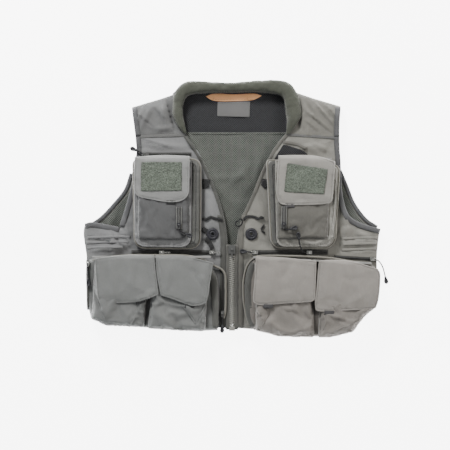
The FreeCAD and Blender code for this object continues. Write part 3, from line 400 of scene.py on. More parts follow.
def rounded(points, radii, step=3.0):
    """A polygon, anticlockwise, with its corners rounded."""
    given = np.array(points, float)
    radii = radii if hasattr(radii, "__len__") else [radii] * len(given)
    line = []
    for i, radius in enumerate(radii):
        here = given[i]
        back, on = unit(given[i - 1] - here), unit(given[(i + 1) % len(given)] - here)
        if radius < 0.5:
            line.append(here)
            continue
        angle = math.acos(np.clip(back @ on, -1, 1))
        reach = radius / math.tan(angle / 2)
        count = max(3, int(radius * (math.pi - angle) / step) + 2)
        a, b = here + back * reach, here + on * reach
        for t in np.linspace(0, 1, count):
            line.append((1 - t) ** 2 * a + 2 * t * (1 - t) * here + t**2 * b)
    line = np.array(line)
    dense = [np.linspace(a, b, max(2, int(np.linalg.norm(b - a) / step) + 1), endpoint=False)
             for a, b in zip(line, np.roll(line, -1, axis=0))]
    return np.vstack(dense)


def distance_to(xy, line, closed=True):
    """Distance of each point to a line of segments."""
    a, b = line, np.roll(line, -1, axis=0)
    if not closed:
        a, b = a[:-1], b[:-1]
    best = np.full(len(xy), 1e9)
    for p, q in zip(a, b):
        run = q - p
        t = np.clip(((xy - p) @ run) / max(run @ run, 1e-9), 0, 1)
        best = np.minimum(best, np.linalg.norm(xy - (p + t[:, None] * run), axis=1))
    return best


def inside(xy, line):
    """Whether each point lies in the closed outline."""
    x, y = xy[:, 0], xy[:, 1]
    result = np.zeros(len(xy), bool)
    for (x0, y0), (x1, y1) in zip(line, np.roll(line, -1, axis=0)):
        if y0 == y1:
            continue
        crosses = ((y0 > y) != (y1 > y)) & (x < (x1 - x0) * (y - y0) / (y1 - y0) + x0)
        result ^= crosses
    return result


def fill(line, rings, step):
    """Points and triangles that fill an outline, with rows of points along its edge."""
    inward = leftward(line)
    points = [line]
    for ring in rings:
        row = line + inward * ring
        points.append(row[(distance_to(row, line) > ring * 0.93) & inside(row, line)])
    lowest, highest = line.min(0), line.max(0)
    columns = np.arange(lowest[0], highest[0], step)
    rows = np.arange(lowest[1], highest[1], step * 0.87)
    grid = np.array([(x + (step / 2 if i % 2 else 0), y) for i, y in enumerate(rows) for x in columns])
    points.append(grid[inside(grid, line) & (distance_to(grid, line) > rings[-1] + step * 0.55)])
    count = len(line)
    edges = [(i, (i + 1) % count) for i in range(count)]
    found = delaunay_2d_cdt([Vector(p) for p in np.vstack(points)], edges, [], 1, 1e-6)
    return np.array([tuple(v) for v in found[0]]), [tuple(f) for f in found[2]]


pieces = {}


def finish_piece(name, verts, faces, finish, body="vest", replaces=(), ride=True):
    """Makes the mesh object, in metres, with its material and body."""
    mesh = bpy.data.meshes.new(name)
    mesh.from_pydata([tuple(np.array(v) * MM) for v in verts], [], faces)
    mesh.validate()
    obj = placed(name, mesh)
    mesh.polygons.foreach_set("use_smooth", [True] * len(mesh.polygons))
    material, slot = finishes[finish]
    mesh.materials.append(material)
    if replaces:
        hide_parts(*replaces)
    if ride:
        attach(obj, body)
    pieces[name] = obj
    return obj


def places_of(obj):
    """A piece's points in millimetres."""
    return np.array([v.co for v in obj.data.vertices]) / MM


def rise(d, reach):
    """How far a rounded edge has risen at distance d from the edge, from 0 to 1."""
    t = np.clip(d / reach, 0, 1)
    return np.sqrt(1 - (1 - t) ** 2)


def shell_mesh(line, top, bottom, rings, step):
    """A closed skin over an outline: top and bottom give heights from x, y and the edge distance."""
    xy, faces = fill(line, rings, step)
    d = distance_to(xy, line)
    x, y = xy[:, 0], xy[:, 1]
    upper, lower = top(x, y, d), bottom(x, y, d)
    rim = d < 1e-4
    upper = np.where(rim, (upper + lower) / 2, upper)
    verts = [tuple(v) for v in np.column_stack([xy, upper])]
    index = {}
    for i in np.nonzero(~rim)[0]:
        index[i] = len(verts)
        verts.append((x[i], y[i], lower[i]))
    kept, under = [], []
    for face in faces:
        below = tuple(index.get(i, i) for i in reversed(face))
        if set(face) != set(below):
            kept.append(face)
            under.append(below)
    return verts, kept + under


def shell(name, line, top, bottom, finish, rings=(0.5, 1.4, 3.0), step=6.0, **options):
    verts, faces = shell_mesh(line, top, bottom, rings, step)
    return finish_piece(name, verts, faces, finish, **options)


def puckered(x, y, d):
    """The small gathers that a hem's stitching pulls into cloth."""
    wave = np.sin(0.62 * x + 1.7 * np.sin(0.13 * y)) + np.sin(0.55 * y + 1.5 * np.sin(0.11 * x))
    return 0.28 * wave * np.exp(-np.abs(d - 4) / 4)


def sheet_piece(name, line, height, thick, finish, edge=1.0, step=5.0, rings=(0.4, 1.2, 3.0), hem=0.0,
                rests_on=(), **options):
    """It's declared as a sheet where it says what it rests on.
    """
    half = thick / 2

    def top(x, y, d):
        seam = hem * (puckered(x, y, d) - 0.6 * np.exp(-(((d - 3.4) / 0.9) ** 2)))
        return height(x, y) + half * rise(d, edge) + seam

    def bottom(x, y, d):
        return height(x, y) - half * rise(d, edge)

    piece = shell(name, line, top, bottom, finish, rings, step, **options)
    if rests_on:
        cut_sheet(line)
    return piece


def fold(x, y, folds):
    """Sum of soft ridges, each (x0, y0, x1, y1, width, height).

    A negative height makes a crease, and a negative width a pleat, steep on one side.
    """
    total = np.zeros_like(x)
    for x0, y0, x1, y1, width, height in folds:
        run = np.array([x1 - x0, y1 - y0])
        length = np.linalg.norm(run)
        t = ((x - x0) * run[0] + (y - y0) * run[1]) / length**2
        across = ((y - y0) * run[0] - (x - x0) * run[1]) / length
        fade = np.clip(1 - (2 * np.abs(t - 0.5)) ** 2.5, 0, 1)
        if width > 0:
            total += height * fade * np.exp(-((across / (width * 0.6)) ** 2))
        else:
            total += height * fade * np.clip(across / 0.8 + 0.5, 0, 1) * np.exp(-across.clip(0) / -width)
    return total


def ripple(x, y, size, seed):
    """Gentle unevenness of lying cloth, about 1 high, with hollows and humps about size apart."""
    rng = np.random.default_rng(seed)
    total = np.zeros_like(x)
    for _ in range(7):
        angle, phase = rng.uniform(0, 2 * math.pi, 2)
        pitch = size * rng.uniform(0.7, 2.0)
        along = (x * math.cos(angle) + y * math.sin(angle)) * 2 * math.pi / pitch
        total += np.sin(along + phase) * rng.uniform(0.5, 1.0)
    return total / 3


def creases(x, y, size, seed):
    """Fine worn-in creases in patches, about 1 high: bent ridges in a few directions."""
    rng = np.random.default_rng(seed)
    total = np.zeros_like(x)
    for _ in range(6):
        angle = rng.uniform(0, math.pi)
        u = x * math.cos(angle) + y * math.sin(angle)
        v = y * math.cos(angle) - x * math.sin(angle)
        u = u + size * 0.3 * np.sin(v / (size * 0.9) + rng.uniform(0, 6))
        u = u + size * 0.15 * np.sin(v / (size * 0.31) + rng.uniform(0, 6))
        saw = (u / (size * rng.uniform(0.8, 1.4)) + rng.uniform(0, 1)) % 1 - 0.5
        patch = np.clip(ripple(x, y, size * 1.6, rng.integers(1, 999)) * 1.6 - 0.15, 0, 1)
        total += patch * np.exp(-((saw / 0.13) ** 2)) * rng.choice((-1, 1))
    return total


def on_top(xy, names, lift=0.0):
    """Points lying on the highest of the named pieces, in millimetres."""
    graph = bpy.context.evaluated_depsgraph_get()
    trees = [BVHTree.FromObject(pieces[n], graph) for n in names]
    found = []
    for x, y in np.asarray(xy)[:, :2]:
        heights = []
        for tree in trees:
            hit = tree.ray_cast(Vector((x * MM, y * MM, 0.2)), Vector((0, 0, -1)))
            if hit[0] is not None:
                heights.append(hit[0].z / MM)
        last = found[-1][2] if found else FRONT
        found.append((x, y, (max(heights) + lift) if heights else last))
    return np.array(found)


def ribbon_mesh(path, section, closed=False):
    """A band along a path. The section is a closed loop of (across, up) points."""
    path = np.asarray(path, float)
    ahead = np.roll(path, -1, axis=0) - np.roll(path, 1, axis=0) if closed else np.gradient(path, axis=0)
    across = unit(np.cross(ahead, (0, 0, 1)))
    up = unit(np.cross(across, ahead))
    verts = [tuple(p + a * s + u * v) for p, a, u in zip(path, across, up) for s, v in section]
    return verts, grid_faces(len(path), len(section), closed)


def ribbon(name, path, section, finish, closed=False, **options):
    verts, faces = ribbon_mesh(path, section, closed)
    return finish_piece(name, verts, faces, finish, **options)


def oval(width, height, count=10, lift=0.0):
    """Section of a cord or a rounded band."""
    turns = np.linspace(0, 2 * math.pi, count, endpoint=False)
    return [(math.cos(a) * width / 2, math.sin(a) * height / 2 + lift) for a in turns]


def tape_section(width, thick):
    """Section of flat tape with rounded edges, standing on its path."""
    half, edge = width / 2, min(thick / 2, width / 6)
    right = [(half - edge, 0), (half, thick * 0.35), (half, thick * 0.65), (half - edge, thick)]
    left = [(-x, z) for x, z in right]
    return [left[1], left[2], left[3], (0, thick * 1.05)] + right[::-1] + [left[0]]


def joined(parts):
    """Several (verts, faces) as one."""
    verts, faces = [], []
    for some_verts, some_faces in parts:
        start = len(verts)
        verts += list(some_verts)
        faces += [tuple(i + start for i in f) for f in some_faces]
    return verts, faces


def resample(path, pitch):
    """The same path with points about every pitch along it."""
    path = np.asarray(path, float)
    lengths = np.r_[0, np.cumsum(np.linalg.norm(np.diff(path, axis=0), axis=1))]
    wanted = np.linspace(0, lengths[-1], max(2, round(lengths[-1] / pitch) + 1))
    return np.stack([np.interp(wanted, lengths, path[:, k]) for k in range(path.shape[1])], 1)


seams = {}


def make_sewing():
    for (body, finish), parts in seams.items():
        verts, faces = joined(parts)
        finish_piece(f"{body}_{finish}", verts, faces, finish, body=body)


def inflate(obj, free, pressure, slack, cap):
    """Lets a closed piece settle as cloth under air pressure, apart from its points that aren't free."""
    mesh = obj.data
    start = np.array([v.co for v in mesh.vertices])
    pins = obj.vertex_groups.new(name="pins")
    pins.add([int(i) for i in np.nonzero(~free)[0]], 1.0, "REPLACE")
    modifier = obj.modifiers.new("settle", "CLOTH")
    settings = modifier.settings
    settings.quality = 6
    settings.mass = 0.2
    settings.tension_stiffness = settings.compression_stiffness = 18
    settings.shear_stiffness = 8
    settings.bending_stiffness = 0.3
    settings.use_pressure = True
    settings.uniform_pressure_force = pressure
    settings.vertex_group_mass = "pins"
    settings.shrink_min = -slack
    settings.effector_weights.gravity = 0
    modifier.collision_settings.use_collision = False
    modifier.point_cache.frame_end = SETTLING_FRAMES
    scene = bpy.context.scene
    for step in range(1, SETTLING_FRAMES + 1):
        scene.frame_set(step)
    moved = obj.evaluated_get(bpy.context.evaluated_depsgraph_get()).data
    shift = np.array([v.co for v in moved.vertices]) - start
    length = np.linalg.norm(shift, axis=1)
    limit = cap * MM
    shift *= (limit * np.tanh(length / limit) / np.maximum(length, 1e-9))[:, None]
    obj.modifiers.remove(modifier)
    obj.vertex_groups.clear()
    scene.frame_set(1)
    mesh.vertices.foreach_set("co", (start + shift).ravel())
    mesh.update()


def puffed(name, line, top, base, finish, rings, step, free, air, replaces=()):
    """A pocket's soft face. Its free points settle with air: a pressure, a slack and a largest shift."""
    piece = shell(name, line, top, flat_at(base), finish, rings, step, replaces=replaces, ride=False)
    inflate(piece, free(places_of(piece)), *air)
    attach(piece, "vest")


finishes = {name: (make(name, rgb, **options), slot)
            for make, slot, colours, options in FINISHES for name, rgb in colours.items()}
make_stage()

# ---------------------------------------------------------------- pull cords

# The routes of the two free cords, from the cross bar of each pull.
CORD_ROUTES = {
    "right_under": [(-6.2, 0, -1.1), (-10, 0.3, 2.5), (-13, 0.8, 9), (-16, 4, 14.6), (-19, 10, 16.2),
                    (-21, 18, 17.8), (-22.5, 26.5, 20.2)],
    "right_side": [(6.2, -0.4, -1.1), (11.4, -3, -3.2), (17, -9.5, -8), (21.5, -17, -13.6),
                   (24.5, -26, -17.0), (26.5, -35.5, -17.2)],
}
CORD_THICK = 2.6


def free_cord(word):
    """A pull's cord: one smooth spline from its link to its moulded grip."""
    route = [pivot(f"{word}_pull_swing") + p for p in CORD_ROUTES[word]]
    curve = bpy.data.curves.new(f"{word}_pull_cord", "CURVE")
    curve.dimensions = "3D"
    spline = curve.splines.new("NURBS")
    spline.points.add(len(route) - 1)
    for point, place in zip(spline.points, route):
        point.co = (*(place * MM), 1)
    spline.order_u = 3
    spline.use_endpoint_u = True
    spline.resolution_u = 12
    curve.bevel_depth = CORD_THICK / 2 * MM
    curve.bevel_resolution = 4
    curve.use_fill_caps = True
    obj = placed(f"{word}_pull_cord", curve)
    material, slot = finishes["cord"]
    curve.materials.append(material)
    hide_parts(f"{word}_cord")
    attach(obj, f"{word}_pull")
    return obj, route


def grip_parts(start, along):
    """A moulded teardrop with a raised rim and a sunk middle, from start, lying along a direction."""
    along = unit(along)
    across = unit(np.cross((0, 0, 1), along))
    up = np.cross(along, across)
    length, half, tail = GRIP_LENGTH, GRIP_WIDTH / 2, 1.6
    right = [(0, -tail), (length * 0.35, -half * 0.72), (length * 0.66, -half), (length * 0.93, -half * 0.6)]
    line = closed_line(right + [(length, 0)] + [(x, -y) for x, y in right[::-1]], 1.0)

    def top(x, y, d):
        sunk = 0.55 * np.clip((d - 1.6) / 0.8, 0, 1) * (x > length * 0.25)
        return GRIP_THICK / 2 * rise(d, 1.3) * (1 - sunk)

    verts, faces = shell_mesh(line, top, lambda x, y, d: -top(x, y, d), (0.25, 0.7, 1.3, 1.9, 2.6), 1.4)
    return [start + along * x + across * y + up * z for x, y, z in verts], faces


cord_routes = {}
cord_objects = {}
for word in CORD_ROUTES:
    cord_objects[word], cord_routes[word] = free_cord(word)

# ---------------------------------------------------------------- shared pieces


def paint(node, finish):
    """A CAD node whose shape is right keeps it and gets this finish."""
    obj = frame["nodes"][node]
    material = finishes[finish][0]
    if not obj.material_slots:
        obj.data.materials.append(material)
    for place in obj.material_slots:
        place.material = material


def outline_area(line):
    x, y = line[:, 0], line[:, 1]
    return abs(np.sum(x * np.roll(y, -1) - y * np.roll(x, -1))) / 2


def cut_sheet(line):
    """Works out the area of a sheet cut to this outline; the area is not kept."""
    area = outline_area(line) * MM * MM


def inset(line, distance, closed=True):
    """The line moved to its left, which is inwards for an outline."""
    line = np.asarray(line, float)[:, :2]
    moved = line + leftward(line, closed) * distance
    if closed:
        moved = moved[distance_to(moved, line) > distance * 0.95]
        moved = np.vstack([moved, moved[:1]])
    return moved


def sew(path, names, body="vest", finish="thread"):
    """Adds a row of stitches along a flat path, on the named pieces, to that body's sewing."""
    flat = resample(np.asarray(path)[:, :2], STITCH_PITCH)
    places = resample(on_top(flat, names, 0.15), STITCH_PITCH)
    for here, there in zip(places, places[1:]):
        run = there - here
        if np.linalg.norm(run) < 0.5:
            continue
        ahead = unit(run)
        across = unit(np.cross(ahead, (0, 0, 1)))
        up = np.cross(across, ahead)
        side = across * THREAD / 2
        middle, reach = (here + there) / 2, run * 0.36
        verts = [middle - reach - up * 0.15, middle + reach - up * 0.15]
        for place in (-0.55, 0.55):
            base = middle + reach * place
            verts += [base + side, base + up * THREAD * 0.45, base - side, base - up * THREAD * 0.3]
        faces = [(0, 2 + (k + 1) % 4, 2 + k) for k in range(4)]
        faces += [(1, 6 + k, 6 + (k + 1) % 4) for k in range(4)]
        faces += [(2 + k, 2 + (k + 1) % 4, 6 + (k + 1) % 4, 6 + k) for k in range(4)]
        seams.setdefault((body, finish), []).append((verts, faces))


def tube(name, points, width, finish, step=4.0, **options):
    """A round cord or piping through points in space."""
    return ribbon(name, curve_through(points, step), oval(width, width), finish, **options)


def laid(name, points, names, section, finish, step=4.0, lift=0.0, **options):
    """A band that lies on other pieces."""
    flat = curve_through([p[:2] for p in points], step)
    return ribbon(name, on_top(flat, names, lift), section, finish, **options)


def coil_parts(path):
    """The turns of a coil zip, lying across the path."""
    parts = []
    places = resample(path, COIL_PITCH)
    for here, there in zip(places, places[1:]):
        across = np.cross(unit(there - here), (0, 0, 1))
        middle = (here + there) / 2
        turn = [middle + across * (COIL_WIDTH / 2 * math.cos(a)) + np.array((0, 0, 1.1 * math.sin(a)))
                for a in np.linspace(0, math.pi, 6)]
        parts.append(ribbon_mesh(np.array(turn), oval(COIL_PITCH * 0.62, 0.8, 5)))
    return parts


def coil_zip(name, points, node, width=7.0, tape="tape", coil="teeth_dark"):
    """Woven tape, standing on the path, with a coil along its middle."""
    path = curve_through(points, 4.0)
    ribbon(f"{name}_tape", path, tape_section(width, 0.8), tape, replaces=[node])
    verts, faces = joined(coil_parts(path + (0, 0, 0.75)))
    finish_piece(f"{name}_coil", verts, faces, coil)


def turned(profile, centre):
    """A profile of (radius, height) turned about a vertical axis."""
    count = 28
    x, y, z = centre
    turns = [2 * math.pi * k / count for k in range(count)]
    verts = [(x + radius * math.cos(a), y + radius * math.sin(a), z + height)
             for radius, height in profile for a in turns]
    return verts, grid_faces(len(profile), count, True)


def wire_link(start, along, length):
    """A closed wire link that lies along a direction, round the cross bar at its start."""
    along = unit(along)
    across = unit(np.cross((0, 0, 1), along))
    half = LINK_WIDTH / 2
    loop = []
    for turns, middle in ((np.linspace(math.pi / 2, 3 * math.pi / 2, 8), 0.3),
                          (np.linspace(-math.pi / 2, math.pi / 2, 8), length - half)):
        loop += [along * (middle + half * math.cos(a)) + across * half * math.sin(a) for a in turns]
    return ribbon_mesh(np.array(loop) + start, oval(LINK_THICK, LINK_THICK, 8), closed=True)


# ---------------------------------------------------------------- outlines of the vest

LEFT_V = [(-90, 147), (-62, 105), (-39, 57), (-21, 8), (-12, -31), (-9, -60), (-8, -78)]
RIGHT_V = [(107, 150), (84, 122), (59, 76), (39, 27), (21, -12), (12, -45), (9, -66), (8, -78)]
LEFT_ARM = [(-189, 144), (-187, 115), (-189, 96), (-195, 57), (-205, 16), (-220, -33)]
LEFT_UNDERARM = [(-220, -36), (-240, -32), (-262, -28), (-277, -26), (-289, -29)]
RIGHT_ARM = [(210, 142), (211, 115), (213, 92), (214, 60), (216, 31), (222, 4), (230, -14), (243, -23),
             (262, -31), (291, -39)]
LEFT_SIDE = [(-289, -29), (-292, -49), (-286, -92), (-285, -133), (-273, -210)]
RIGHT_SIDE = [(291, -39), (285, -88), (284, -140), (272, -188), (246, -214)]
HEM = [(-273, -210), (-247, -222), (-190, -228), (-82, -231), (-9, -234)]
RIGHT_HEM = [(9, -234), (90, -238), (160, -240), (220, -234), (246, -214)]

# Folds in the fronts and in the lining, each as fold() takes them.
GROUND_FOLDS = [
    (-225, 10, -205, -80, 16, 2.0), (-255, -35, -215, -80, 14, 1.8), (-200, -70, -278, -80, 9, 1.2),
    (-60, 80, -58, -40, 14, -1.2), (-45, 20, -36, -40, 14, 1.4), (40, 60, 60, -30, 14, 1.3),
    (-214, -20, -198, -84, -9, 1.8), (-240, -40, -196, -92, -8, 1.6), (-286, -50, -200, -74, -7, 1.5),
    (-286, -84, -206, -76, -6, 1.4), (226, -14, 214, -80, -9, 1.8), (288, -52, 214, -66, -7, 1.5),
    (286, -78, 216, -88, -6, 1.3), (-92, 140, -60, 100, -8, 1.4), (110, 140, 78, 100, -8, 1.4),
    (-180, 138, -110, 118, -9, 1.6), (204, 138, 130, 122, -9, 1.6), (-34, -40, -26, -110, -8, 1.0),
    (225, 20, 222, -60, 14, 2.0), (240, -45, 275, -55, 10, 1.8), (215, -70, 285, -62, 9, 1.6),
    (250, -30, 232, -80, 12, -1.2), (-150, 125, -80, 118, 12, 1.0), (120, 118, 190, 122, 12, 1.0),
    (-170, 132, -120, 112, 9, 1.1), (150, 132, 196, 112, 9, 1.1),
]
LINING_FOLDS = [(-70, 120, -20, 20, 14, 1.6), (20, 100, 34, 30, 14, 1.4), (-10, 90, 6, -20, 10, -1.0),
                (60, 110, 40, 40, 10, 1.2), (-230, 0, -250, -60, 12, 1.2), (240, 0, 262, -60, 12, 1.2),
                (-50, 60, 40, 66, 9, 0.9), (-20, 30, 40, 90, 8, 0.9)]


def edges(*runs):
    """An outline out of runs of points, each of which starts at a corner."""
    return [point for run in runs for point in [(*run[0], 0), *run[1:]]]


# Where the coil zips lie on the fronts: the two ends of each.
ZIP_RUNS = {
    "left_under": [(-197, -85), (-33, -85)],
    "right_under": [(39.5, -85), (188, -85)],
    "left_top": [(-174, 107.5), (-80, 107.5)],
    "right_side": [(201, -94.2), (281, -98.4)],
    "left_inner": [(-18.5, -211), (-18.5, -121)],
}


def calm(x, y):
    """Less folding where a zip holds the cloth flat."""
    xy = np.column_stack([x, y])
    near = np.min([distance_to(xy, np.array(run), closed=False) for run in ZIP_RUNS.values()], axis=0)
    return np.clip((near - 5) / 12, 0.12, 1)


def ground(x, y):
    """Height of the fronts' cloth: lofted, and folded."""
    slope = np.clip((x + 292) / 12, 0, 1) * np.clip((292 - x) / 12, 0, 1)
    folds = 0.6 * ripple(x, y, 70, 3) + 1.7 * creases(x, y, 46, 8) + 2.2 * fold(x, y, GROUND_FOLDS)
    return FRONT - 1.4 - 3.0 * (1 - slope) ** 2 + folds * calm(x, y)


def at_ground(points, lift=0.9):
    """A flat line lifted on to the fronts."""
    points = np.asarray([p[:2] for p in points], float)
    return np.column_stack([points, ground(points[:, 0], points[:, 1]) + lift])


# ---------------------------------------------------------------- back, fronts and yokes


BACK_OUTLINE = [
    (-262, -216, 0), (-200, -226), (160, -226), (238, -222), (268, -190), (281, -88), (288, -37, 0),
    (264, -21), (241, 11), (226, 45), (213, 76), (209, 115), (208, 144), (211, 174), (213, 200, 0),
    (160, 216), (128, 226, 0), (112, 240), (70, 246), (0, 242), (-70, 246), (-106, 238), (-118, 224, 0),
    (-150, 213), (-196, 199, 0), (-191, 172), (-188, 144), (-187, 115), (-190, 96), (-198, 70), (-210, 37),
    (-233, 8), (-258, -18), (-284, -33, 0), (-284, -92),
]
LINING_OUTLINE = [
    (-256, -210, 0), (-196, -220), (156, -220), (232, -216), (262, -186), (276, -88), (278, -38, 0),
    (256, -22), (234, 10), (219, 45), (207, 76), (203, 115), (200, 147, 0), (0, 149), (-181, 147, 0),
    (-181, 115), (-184, 96), (-192, 66), (-204, 34), (-226, 6), (-251, -20), (-274, -38, 0), (-276, -92),
]
YOKE_MESH_OUTLINE = [
    (-184, 149, 0), (0, 149), (203, 149, 0), (206, 172), (206, 196, 0), (128, 220, 0), (112, 234), (0, 236),
    (-105, 234), (-118, 218, 0), (-190, 194, 0), (-186, 172),
]


def make_back():
    """Outer back cloth, and the two meshes that line it."""

    def lining_height(x, y):
        return (BACK + 1.2 + 0.5 * ripple(x, y, 60, 11) + 1.4 * creases(x, y, 50, 2).clip(-0.5, 2)
                + 3.0 * fold(x, y, LINING_FOLDS).clip(-0.2, 2))

    def yoke_height(x, y):
        return BACK + 1.6 + 0.4 * ripple(x, y, 50, 5) + fold(x, y, [(-90, 158, 100, 160, 8, 0.8)])

    sheet_piece("back_cloth", closed_line(BACK_OUTLINE, 4), lambda x, y: np.full_like(x, BACK / 2), BACK,
                "shell_warm", step=9, replaces=["back_panel"], rests_on=["floor"])
    sheet_piece("mesh_lining", closed_line(LINING_OUTLINE, 4), lining_height, 0.9, "lining_mesh", step=6,
                replaces=["back_mesh_lining"], rests_on=["back_cloth"])
    sheet_piece("yoke_mesh", closed_line(YOKE_MESH_OUTLINE, 4), yoke_height, 0.9, "yoke_mesh", step=6,
                replaces=["back_yoke_mesh"], rests_on=["back_cloth"])
    seam = [(x, 149.5, BACK + 2.0) for x in np.linspace(-104, 112, 40)]
    ribbon("yoke_mesh_seam", np.array(seam), tape_section(4.0, 0.7), "lining_mesh")
    for side, points in (("left", [(-198, 70), (-210, 37), (-233, 8), (-258, -18), (-282, -34)]),
                         ("right", [(213, 76), (226, 45), (240, 11), (263, -20), (286, -36)])):
        path = [(x, y, 0.3) for x, y in points]
        ribbon(f"{side}_back_binding", curve_through(path, 4), tape_section(8, 3.4), "binding")


def make_fronts():
    """The two fronts with their V facings, plackets and armhole tapes."""
    left = edges(LEFT_ARM, LEFT_UNDERARM[:-1], LEFT_SIDE[:-1], HEM[:-1], HEM[-1:], LEFT_V[:0:-1], LEFT_V[:1])
    right = edges(RIGHT_HEM[:-1], RIGHT_SIDE[:0:-1], RIGHT_ARM[:0:-1], RIGHT_ARM[:1], RIGHT_V[:-1],
                  RIGHT_V[-1:])
    for word, outline in (("left", left), ("right", right)):
        sheet_piece(f"{word}_front_cloth", closed_line(outline, 4), ground, 1.5, SHELL[word], step=3.5,
                    replaces=[f"{word}_front"], rests_on=["mesh_lining"])
    for word, side, edge, finish in (("left", 1, LEFT_V, "facing"), ("right", -1, RIGHT_V, "facing_warm")):
        cloth_name = f"{word}_front_cloth"
        path = curve_through(edge, 4)
        facing = inset(path, -side * 3.4, closed=False)
        ribbon(f"{word}_facing", at_ground(facing, 0.5), tape_section(6.4, 1.1), finish)
        sew(inset(path, -side * 7.5, closed=False), [cloth_name])
        sew(inset(path, -side * 1.6, closed=False), [f"{word}_facing"])
        placket = [(-side * x, y) for x, y in ((24, -12), (18, -50), (17.5, -100), (17.5, -231))]
        laid(f"{word}_placket", placket, [cloth_name], tape_section(10.0, 1.3), finish, lift=-0.2)
        sew([(-side * 23.8, y) for y in np.arange(-50, -230, -3)], [cloth_name])
    for name, edge, side in (("left_arm_tape", LEFT_ARM, 1), ("left_underarm_tape", LEFT_UNDERARM, 1),
                             ("right_arm_tape", RIGHT_ARM, -1)):
        path = curve_through(edge, 4)
        middle = at_ground(inset(path, side * 4.6, closed=False), -0.8)
        ribbon(name, middle, tape_section(10.5, 2.7), "binding", replaces=["armhole_bindings"])
        sew(inset(path, side * 8.6, closed=False), [name], finish="thread_dark")


def make_side_folds():
    """Cloth that rolls from the fronts to the back at each side."""
    turns = np.linspace(math.pi / 2, 3 * math.pi / 2, 9)
    outer, inner = ([(w * math.cos(a), h * math.sin(a)) for a in turns] for w, h in ((4.4, 6.0), (3.2, 4.8)))
    section = outer + inner[::-1]
    for word, line in (("left", LEFT_SIDE[::-1]), ("right", RIGHT_SIDE)):
        middle = inset(curve_through(line, 5), -4.2, closed=False)
        path = np.column_stack([middle, np.full(len(middle), 6.4)])
        ribbon(f"{word}_side_roll", path, section, SHELL[word], replaces=["side_folds"])


YOKES = {
    "left": {
        "finish": "yoke",
        "outline": [(-189, 142, 0), (-90, 146, 0), (-94, 168), (-101, 190), (-106, 212), (-111, 228, 0),
                    (-140, 218), (-197, 201, 0), (-194, 177), (-190, 152)],
        "top": slice(5, 8),
        "arm": [(-184.5, 144), (-188.5, 177), (-191.5, 199)],
        "stitch_shift": 4,
        "folds": [(-150, 220, -182, 152, 9, 1.4), (-134, 226, -112, 150, -9, -3.0),
                  (-142, 224, -126, 150, 9, 2.2), (-172, 212, -188, 172, -8, 1.6),
                  (-160, 152, -104, 162, 8, 1.0), (-158, 206, -128, 172, -9, 1.5),
                  (-186, 186, -150, 160, -8, 1.2)],
    },
    "right": {
        "finish": "yoke_warm",
        "outline": [(107, 147, 0), (211, 140, 0), (210, 160), (212, 180), (214, 203, 0), (160, 219),
                    (122, 232, 0), (124, 212), (124, 190), (119, 166)],
        "top": slice(4, 7),
        "arm": [(205.5, 142), (206, 174), (208.5, 200)],
        "stitch_shift": -4,
        "folds": [(146, 226, 204, 158, -7, 2.0), (170, 218, 210, 176, -6, 1.7), (138, 222, 176, 160, 7, -1.5),
                  (132, 226, 130, 152, 7, -2.8), (134, 200, 196, 150, -8, 1.8), (158, 222, 208, 166, 5, -1.2),
                  (140, 176, 170, 152, -7, 1.3)],
    },
}


def make_yokes():
    """Shoulder yokes, folded down to the back along the shoulder, with their seams and tape."""
    for word, style in YOKES.items():
        points = style["outline"]
        top_line = np.array([p[:2] for p in points[style["top"]]], float)

        def height(x, y):
            d = distance_to(np.column_stack([x, y]), top_line, closed=False)
            wrinkles = 1.5 * creases(x, y, 40, 17) + 2.0 * fold(x, y, style["folds"])
            return 3.4 + 10.6 * rise(d, 26) + wrinkles * np.clip(d / 20, 0.2, 1)

        name, seam_name, tape_name = f"{word}_yoke_cloth", f"{word}_yoke_seam", f"{word}_shoulder_tape"
        sheet_piece(name, closed_line(points, 4), height, 1.5, style["finish"], step=3,
                    replaces=[f"{word}_yoke"], rests_on=["back_cloth"])
        names = [name, f"{word}_front_cloth"]
        (x0, y0), (x1, y1) = points[0][:2], points[1][:2]
        middle = [(x0 * (1 - t) + x1 * t, y0 * (1 - t) + y1 * t - 0.5) for t in np.linspace(0.02, 0.98, 26)]
        laid(seam_name, middle, names, tape_section(6.0, 1.0), "binding_pale")
        for shift in (-1.9, 1.9):
            sew([(x, y + shift) for x, y in middle], [seam_name])
        laid(tape_name, style["arm"], names, tape_section(10.5, 1.5), "binding", lift=0.1)
        sew([(x + style["stitch_shift"], y) for x, y in curve_through(style["arm"], 3)], [tape_name],
            finish="thread_dark")
        sew(inset(curve_through(top_line, 3), 5, closed=False), [name])


# ---------------------------------------------------------------- collar, label and loop

# Middle of the collar's band, its width and its height above the table, from the left foot to the right one.
COLLAR = [(-91, 149, 5, 17), (-99, 164, 14, 17), (-106, 185, 20, 15), (-106, 205, 20, 13),
          (-101, 225, 24, 12.5), (-86, 237, 26, 12.5), (-60, 239, 24, 12.5), (-20, 238.6, 20.5, 12.5),
          (2, 238.6, 20, 12.5), (44, 240.5, 23, 12.5), (80, 240, 27, 12.5), (104, 235, 29, 12.5),
          (115, 220, 28, 12.5), (119, 205, 30, 13), (121, 186, 30, 14), (116, 166, 18, 16), (109, 147, 6, 17)]


